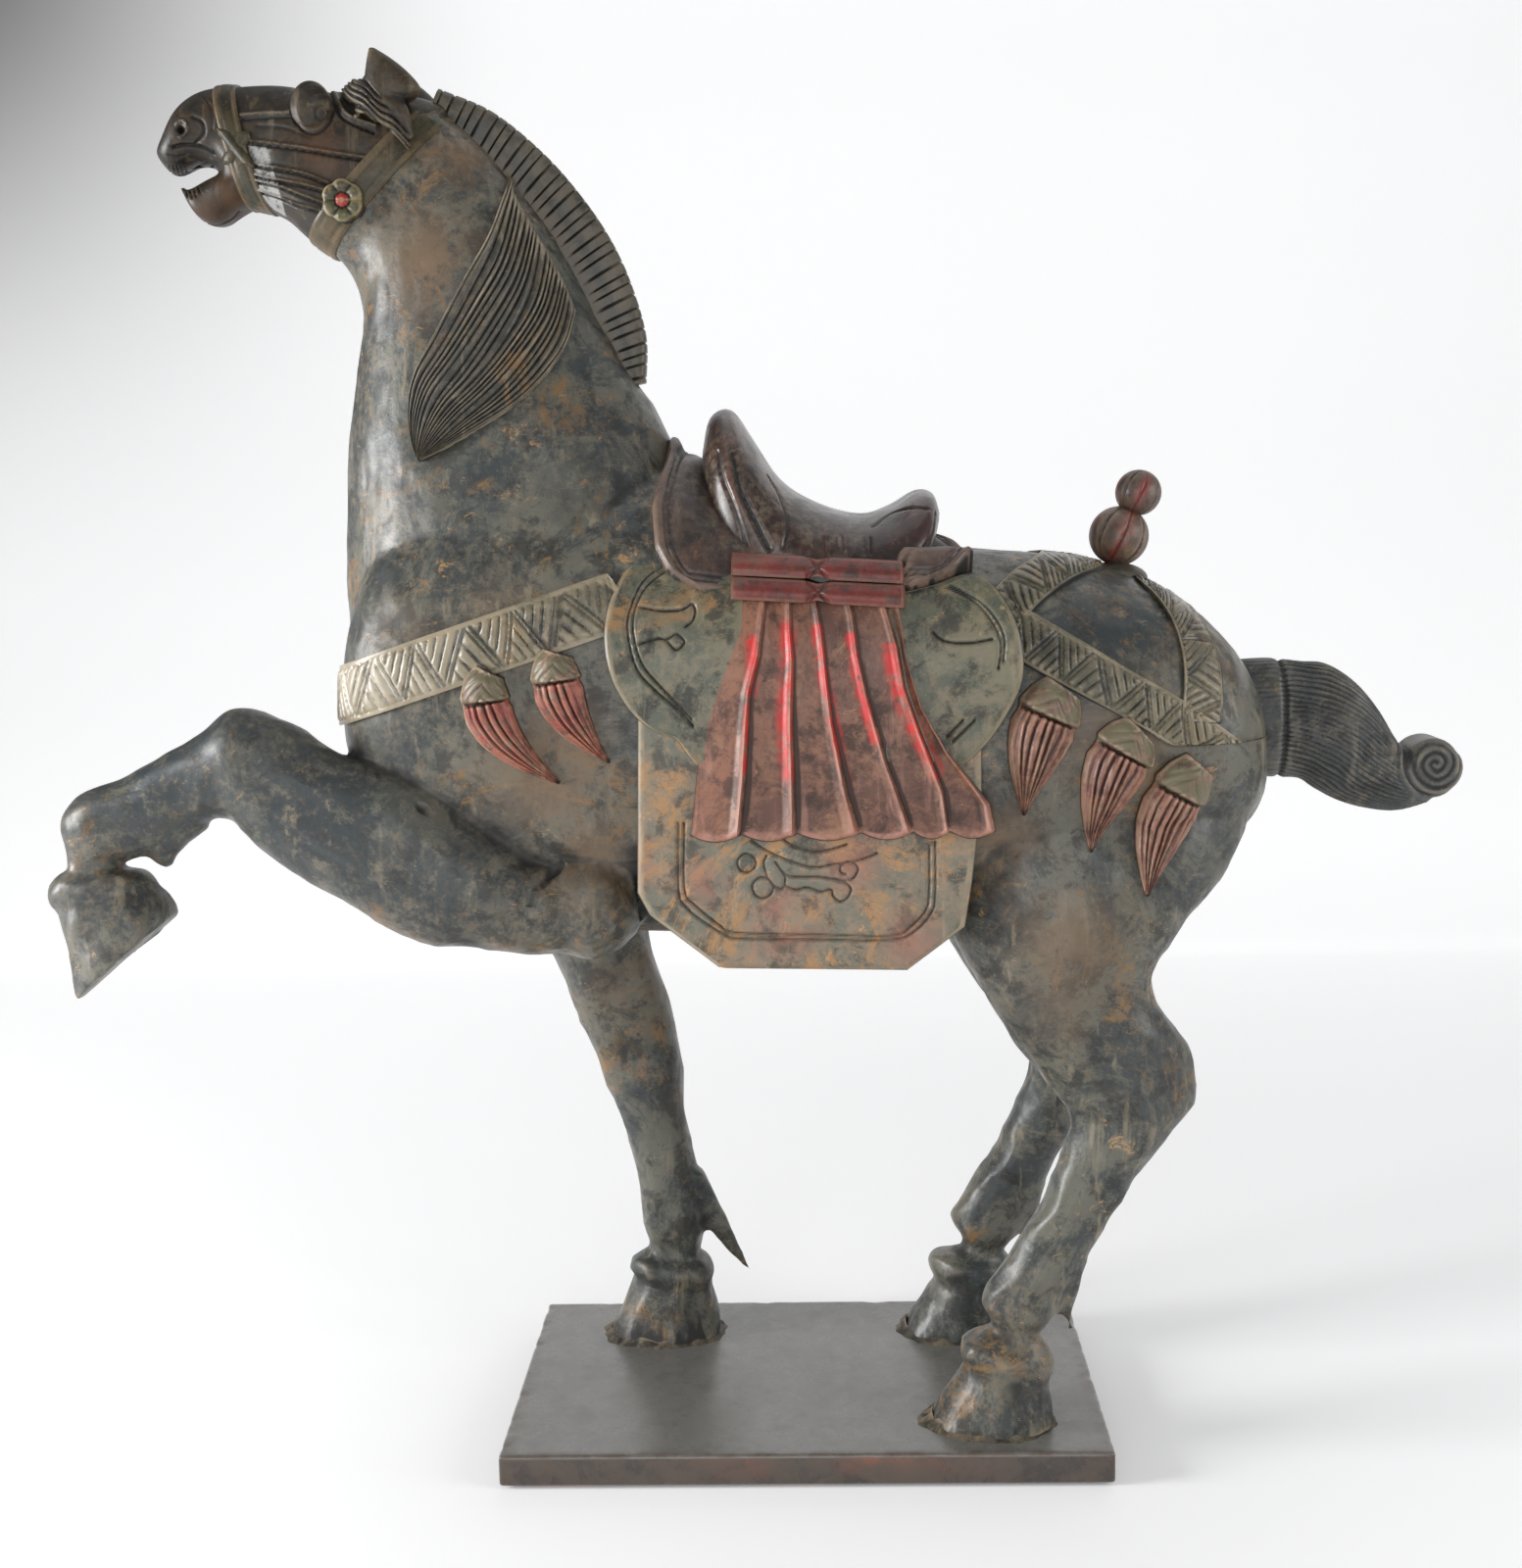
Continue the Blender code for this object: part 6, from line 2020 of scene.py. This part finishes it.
@dataclass
class Bridle:
    """Noseband, throat strap and a rosette on each cheek."""

    proud: float = 0.0032
    rosette: Spot = (-309, 46, 885)
    radius: float = 15
    petals: int = 6
    grid: tuple[int, int] = (360, 15)
    reach: float = 95
    stations: int = 73

    def ring(self, harness: Harness, skin: Skin, name: str,
             spec: tuple[float, float, float, float]) -> None:
        """One strap all round the head.

        Args:
            harness: The harness, whose belts it follows.
            skin: The horse.
            name: Name of the piece.
            spec: x and z of its centre, slope in degrees and half width.
        """
        ground = harness.belt(skin, *spec, 180, (self.reach,) * 3, self.stations)
        loop = Ground(*(np.concatenate([grid[:-1], grid[:1]]) for grid in (ground.points, ground.ways)))
        fine = loop.finer(self.grid[0] + 1, self.grid[1])
        fine = Ground(fine.points[:-1], fine.ways[:-1])
        across = square(*self.grid)[0] * 2 - 1
        height = self.proud * (1 - 0.45 * across**6) - 0.0008 * peak(np.abs(across) - 0.55, 0.12)
        settle_piece(fine.collar(name, height), Finish.BRIDLE, wear=0.0006, keep=0.6)

    def flower(self, side: Side) -> None:
        """A six-petalled rosette round a button."""
        u, v = square(30, 120)
        angle = u * CIRCLE
        x, y, z = self.rosette
        gap = wave(self.petals * u)
        out = v * self.radius * (1 - 0.10 * gap**2)
        points = place(np.stack([x + out * np.cos(angle), v * 0 + side.value * y, z + out * np.sin(angle)], axis=-1))
        button = np.sqrt(np.clip(1 - (v / 0.36) ** 2, 0, 1)) * 0.0040
        leaf = np.sqrt(np.clip(np.sin(math.pi * np.clip((v - 0.36) / 0.64, 0, 1)), 0, 1))
        leaf = leaf * (1 - 0.55 * gap**4)
        height = 0.003 + np.maximum(button, 0.0042 * leaf)
        ground = facing(points, side)
        obj = ground.slab(f"rosette_{side.label}", height, 0.012)
        mark(obj, "accent", v < 0.34)
        settle_piece(obj, Finish.ROSETTE, wear=0.0007)

    def knot(self, skin: Skin, side: Side) -> None:
        """The crossed wrapping over the noseband on one cheek.

        Args:
            skin: The body with its head.
            side: Which cheek.
        """
        u, v = square(14, 14)
        spots = [(221 + 34 * a + 6 * b, 130 + 4 * a + 38 * b) for a, b in zip(u.ravel(), v.ravel())]
        points = SIGHT.on(skin, spots).reshape(14, 14, 3) * (1, -side.value, 1)
        ground = facing(points, side).finer(60, 60)
        u, v = square(60, 60)
        leans = ((0.75, 0.12), (-0.75, 0.88))
        rolls = [np.sqrt(np.clip(1 - ((u - v * turn - shift) / 0.26) ** 2, 0, 1)) for turn, shift in leans]
        height = 0.0052 * np.maximum(rolls[0], 0.8 * rolls[1]) * rim(u, v, 0.1, 0.1) - 0.0004
        wrap = ground.slab(f"noseband_knot_{side.label}", height, 0.004)
        settle_piece(wrap, Finish.BRIDLE, wear=0.0008)

    def build(self, harness: Harness, skin: Skin) -> None:
        """Builds the bridle on the head's skin."""
        self.ring(harness, skin, "noseband", (-388, 931, 103, 8))
        self.ring(harness, skin, "throat_strap", (-296, 896, 46, 11))
        for side in Side:
            self.flower(side)
            self.knot(skin, side)


@dataclass
class Tail:
    """The arched tail, grooved like combed hair and curled at its end."""

    curl: tuple[float, float, float, float] = (466, 468, 22, 24)
    grooves: int = 58
    triangles: int = 64000
    voxel: float = 0.0014
    spread: float = 0.004

    def build(self) -> None:
        """Fuses, combs and dresses the tail."""
        mass = Mass()
        mass.loft(TAIL_FORM, 2.2)
        x, z, radius, half = self.curl
        angle = circle(48)
        rings = []
        for share, swell in ((-1.0, 0.8), (-0.7, 1.0), (0.0, 1.0), (0.7, 1.0), (1.0, 0.8)):
            ring = [x + radius * swell * np.cos(angle), angle * 0 + half * share,
                z + radius * swell * np.sin(angle)]
            rings.append(place(np.stack(ring, axis=1)))
        mass.tube(rings)
        obj = mass.fuse("horse_tail", self.voxel, self.spread)
        points, normals = points_of(obj.data), normals_of(obj.data)
        middle = place(np.array([((a + c) / 2, 0, (b + d) / 2) for a, b, c, d, *_ in TAIL_FORM]))
        line = smooth_line(middle, 60)
        nearest = np.argmin(((points[:, None, (0, 2)] - line[None, :, (0, 2)]) ** 2).sum(-1), axis=1)
        runs = unit(np.gradient(line, axis=0))[nearest]
        off = points - line[nearest]
        up = off[:, 2] * runs[:, 0] - off[:, 0] * runs[:, 2]
        sway = 0.02 * np.sin(nearest * 0.33) + 0.012 * ripple(points, 0.02, 4)
        comb = 0.5 + 0.5 * np.cos(self.grooves * (np.arctan2(off[:, 1], up) + sway))
        centre = place((x, 0, z + 4))
        arm = points - centre
        far = np.hypot(arm[:, 0], arm[:, 2])
        turn = np.arctan2(arm[:, 2], arm[:, 0])
        spiral = wave(far / 0.0075 - turn / CIRCLE)
        near = 1 - ease((far - radius * SHARE * 1.1) / 0.010)
        dock = 1 - ease((points[:, 0] / SHARE - 352) / 6)
        seam = peak(points[:, 0] / SHARE - 356, 2.2) * 0.0022
        groove = comb**1.5 * (1 - near) * (0.0013 - 0.0008 * dock) + spiral**2 * near * 0.0015 + seam
        set_points(obj.data, points - normals * groove[:, None])
        thin_out(obj, self.triangles)
        settle_piece(obj, Finish.TAIL, Slot.TAIL, "tail", wear=0.0007)


@dataclass
class Finial:
    """Two grooved balls on a peg that stands on the croup."""

    lower: Spot = (239, 0, 641)
    upper: Spot = (253, 0, 672)
    lower_radius: float = 0.0256
    upper_radius: float = 0.0197
    peg_radius: float = 0.0080
    segments: int = 8

    def melon(self, name: str, centre: Array, radius: float, axis: Array) -> Piece:
        """A ball with grooves from pole to pole of its axis.

        Args:
            name: Name of the piece.
            centre: Its centre.
            radius: Its radius in metres.
            axis: Way from pole to pole.

        Returns:
            The ball.
        """
        u, v = square(60, 121)
        angle, polar = u[:, :-1] * CIRCLE, 0.02 + v[:, :-1] * (math.pi - 0.04)
        groove = peak(np.sin(angle * self.segments / 2), 0.20)
        spots = sphere(angle, polar) * radius * (1 - 0.055 * groove * np.sin(polar))[..., None]
        turn = np.array(Vector((0, 0, 1)).rotation_difference(Vector(axis)).to_matrix())
        mass = Mass()
        mass.tube(centre + spots @ turn.T)
        obj = mass.plain(name)
        mark(obj, "accent", peak(np.sin(angle * 2), 0.5))
        return obj

    def build(self) -> None:
        """Builds both balls and the peg under them."""
        box_low, box_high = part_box("croup_finial")
        lower, upper = place(self.lower), place(self.upper)
        lift = box_high.z - upper[2] - self.upper_radius
        lower[2] += lift
        upper[2] += lift
        ring = sphere(circle(32), np.full(32, math.pi / 2)) * self.peg_radius + (lower[0], 0, 0)
        mass = Mass()
        mass.tube([ring * (1, 1, 0) + (0, 0, level) for level in (box_low.z, lower[2])])
        settle_piece(mass.plain("finial_peg"), Finish.FINIAL, Slot.FINIAL)
        foot = Mass()
        foot.ball((234, 0, 610), (26, 24, 12))
        settle_piece(foot.plain("finial_foot"), Finish.MANE, wear=0.0010)
        for name, centre, radius, stands_for in (
            ("finial_lower_ball", lower, self.lower_radius, "croup_finial"),
            ("finial_upper_ball", upper, self.upper_radius, ""),
        ):
            ball = self.melon(name, centre, radius, upper - lower)
            settle_piece(ball, Finish.FINIAL, Slot.FINIAL, stands_for, wear=0.0007, keep=0.6)


@dataclass
class Base:
    """The plank, with rubbed edges, and the filler round the hooves."""

    edge: float = 0.0035
    filler_height: float = 0.0065
    filler_grid: tuple[int, int] = (150, 18)

    def plank(self) -> None:
        """The plank with eased, knocked edges and a painted reflection on its top."""
        low, high = Vector(BASE_LOW), Vector(BASE_HIGH)
        bm = bmesh.new()
        bmesh.ops.create_cube(bm, size=1.0)
        size, middle = high - low, (high + low) / 2
        bmesh.ops.scale(bm, vec=size, verts=bm.verts)
        bmesh.ops.translate(bm, vec=middle, verts=bm.verts)
        bmesh.ops.bevel(bm, geom=bm.edges[:], offset=self.edge, segments=3, affect="EDGES", profile=0.6)
        bmesh.ops.subdivide_edges(bm, edges=[e for e in bm.edges if e.calc_length() > 0.1], cuts=70,
            use_grid_fill=True)
        mesh = release(bm, bpy.data.meshes.new("plank"))
        obj = show("plank", mesh)
        points = points_of(mesh)
        inset = np.sort(np.minimum(points - np.array(low), np.array(high) - points), axis=1)[:, 1]
        dent = np.clip(ripple(points, 0.03, 6) - 0.3, 0, 1) * 0.0011 * (1 - ease(inset / 0.012))
        inward = dent[:, None] * normals_of(mesh)
        inward[points[:, 2] < low.z + 0.002] = 0
        set_points(mesh, points - inward)
        # Painted reflection: the top face is marked for the lighter accent colour, as if it mirrored the bright
        # backdrop.
        above = ease((points[:, 2] - high.z + 0.004) / 0.003)
        mark(obj, "accent", above)
        mark(obj, "blush", (1 - above) * ease(ripple(points * (0.5, 1, 1), 0.05, 9) - 0.55))
        settle_piece(obj, Finish.PLANK, Slot.BASE, "base", wear=0.0010)

    def filler(self, name: str, rows: Rows, side: int, shift: float, seed: int) -> None:
        """A low uneven collar of filler round one hoof.

        Args:
            name: Name of the piece.
            rows: The hoof's rows.
            side: 1, or -1 for a leg mirrored in y.
            shift: Thousandths that the leg is moved in x.
            seed: Which unevenness.
        """
        ax, _, bx, _, y, half = rows[-1]
        angle, across = circle(self.filler_grid[0])[:, None], np.linspace(0, 1, self.filler_grid[1])[None]
        uneven = 0.04 * np.sin(3 * angle + seed) + 0.03 * np.sin(7 * angle + 2 * seed)
        uneven = uneven + 0.015 * np.sin(19 * angle)
        reach = 0.86 + across * (0.22 + uneven)
        x = ((ax + bx) / 2 + shift + (bx - ax) / 2 * np.cos(angle) * reach) * SHARE
        yy = (side * y + half * np.sin(angle) * reach) * SHARE
        z = np.full_like(x, BASE_HIGH.z - 0.0004)
        ground = Ground(np.stack([x, yy, z], axis=-1),
            np.broadcast_to((0.0, 0.0, 1.0), (*x.shape, 3)).copy())
        lumps = 1 + 0.35 * ripple(ground.points.reshape(-1, 3), 0.02, seed).reshape(x.shape)
        height = self.filler_height * (1 - across) ** 1.5 * np.clip(lumps, 0.4, 1.6)
        settle_piece(ground.collar(name, height, 0.0), Finish.FILLER, Slot.HORSE)

    def build(self) -> None:
        """Builds the plank and the filler that beds the hooves on it."""
        self.plank()
        self.filler("filler_standing_hoof", STANDING_HOOF, 1, 0, 3)
        self.filler("filler_hind_hoof_near", HIND_HOOF, -1, 0, 5)
        self.filler("filler_hind_hoof_far", HIND_HOOF, 1, FAR_LEG_SHIFT, 8)


@dataclass
class Stage:
    """Pale floor running up into a backdrop, soft light, and the photograph's camera."""

    def floor(self) -> None:
        """One sheet, level under the horse and curving up behind it, with a painted glow and a painted shade towards
        its upper left corner.
        """
        bend = [(-4.5, 0.0), (1.0, 0.0), (1.9, 0.04), (2.8, 0.20), (3.6, 0.55), (4.3, 1.15), (4.75, 2.0),
            (4.95, 3.1), (5.0, 6.0)]
        profile = smooth_rows(bend, 8)
        bm = bmesh.new()
        rows = [[bm.verts.new((x, y, z)) for x in (-8.0, 0.0, 8.0)] for y, z in profile]
        for a, b in zip(rows, rows[1:]):
            for k in range(2):
                bm.faces.new((a[k], a[k + 1], b[k + 1], b[k]))
        mesh = release(bm, bpy.data.meshes.new("backdrop"))
        mesh.shade_smooth()
        obj = show("backdrop", mesh)
        nodes = Nodes("backdrop_paper")
        split = nodes.tree.nodes.new("ShaderNodeSeparateXYZ")
        nodes.link(nodes.coords, split.inputs[0])
        # Painted shade: colour and glow darken towards the upper left corner.
        left = nodes.span(split.outputs[0], -0.8, -3.0)
        high = nodes.span(split.outputs[2], 0.5, 2.9)
        corner = nodes.math("MULTIPLY", left, high)
        # Painted light: the floor and backdrop glow, more towards the back.
        glow = nodes.blend(nodes.span(split.outputs[1], 0.3, 2.6), (0.30, 0.30, 0.30), (1.0, 1.0, 1.0))
        paper = nodes.blend(nodes.noise(2.0), (0.86, 0.86, 0.865), (0.88, 0.88, 0.885))
        nodes.link(nodes.blend(corner, paper, (0.09, 0.088, 0.085)), nodes.shader.inputs["Base Color"])
        nodes.shader.inputs["Roughness"].default_value = 0.9
        # The painted glow, with the painted shade of the corner, is emitted.
        nodes.link(nodes.blend(corner, glow, (0.02, 0.02, 0.02)), nodes.shader.inputs["Emission Color"])
        nodes.shader.inputs["Emission Strength"].default_value = 0.43
        mesh.materials.append(nodes.material)

    def light(self, name: str, place_at: Colour, aim: Colour, size: float, power: float) -> None:
        """A soft square light aimed at a point.

        Args:
            name: Name of the light.
            place_at: Where it stands, in metres.
            aim: The point that it shines at.
            size: Length of its sides in metres.
            power: Its power in watts.
        """
        lamp = bpy.data.lights.new(name, "AREA")
        lamp.size = size
        lamp.energy = power
        obj = show(name, lamp)
        obj.location = place_at
        obj.rotation_euler = (Vector(aim) - Vector(place_at)).to_track_quat("-Z", "Y").to_euler()

    def camera(self) -> None:
        """The camera that the photograph was taken from."""
        right, down, forward = SIGHT.axes()
        lens = bpy.data.cameras.new("camera")
        lens.sensor_fit = "VERTICAL"
        lens.sensor_height = 36
        lens.lens = SIGHT.focal * 36 / SIGHT.frame[1]
        obj = show("camera", lens)
        turn = Matrix((right, -down, -forward)).transposed()
        obj.matrix_world = Matrix.Translation(SIGHT.place) @ turn.to_4x4()
        bpy.context.scene.camera = obj

    def build(self) -> None:
        """Sets floor, lights and camera."""
        self.floor()
        self.camera()
        self.light("key_left", (-2.6, -0.70, 0.95), (-0.2, 0, 0.68), 1.0, 80)
        self.light("front", (-0.2, -3.4, 1.1), (0.05, 0, 0.5), 2.0, 33)
        self.light("top", (0.2, 0.5, 2.9), (0, 0, 0.3), 2.2, 12)
        self.light("right", (2.2, -1.0, 1.1), (0.1, 0, 0.5), 1.2, 20)
        world = bpy.data.worlds.new("studio")
        world.use_nodes = True
        sky = world.node_tree.nodes["Background"].inputs
        sky[0].default_value, sky[1].default_value = (0.97, 0.98, 1.0, 1), 0.33
        bpy.context.scene.view_settings.view_transform = "Standard"
        bpy.context.scene.world = world


def main() -> None:
    """Builds the horse piece by piece, in the order in which it would be assembled."""
    logging.basicConfig(level=logging.INFO, format="%(message)s")
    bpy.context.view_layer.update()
    Stage().build()
    body, head, harness = Body(), Head(), Harness()
    trunk = body.build()
    skin = Skin(trunk)
    Mane().build(skin)
    Saddle().build(skin)
    SideBoards().build()
    PleatedCloth().build()
    harness.build(skin)
    Bridle().build(harness, skin)
    body.finish(trunk)
    face = head.build(body)
    head.finish(face)
    head.eyes()
    head.ears()
    Tail().build()
    Finial().build()
    Base().build()


if __name__ == "__main__":
    main()
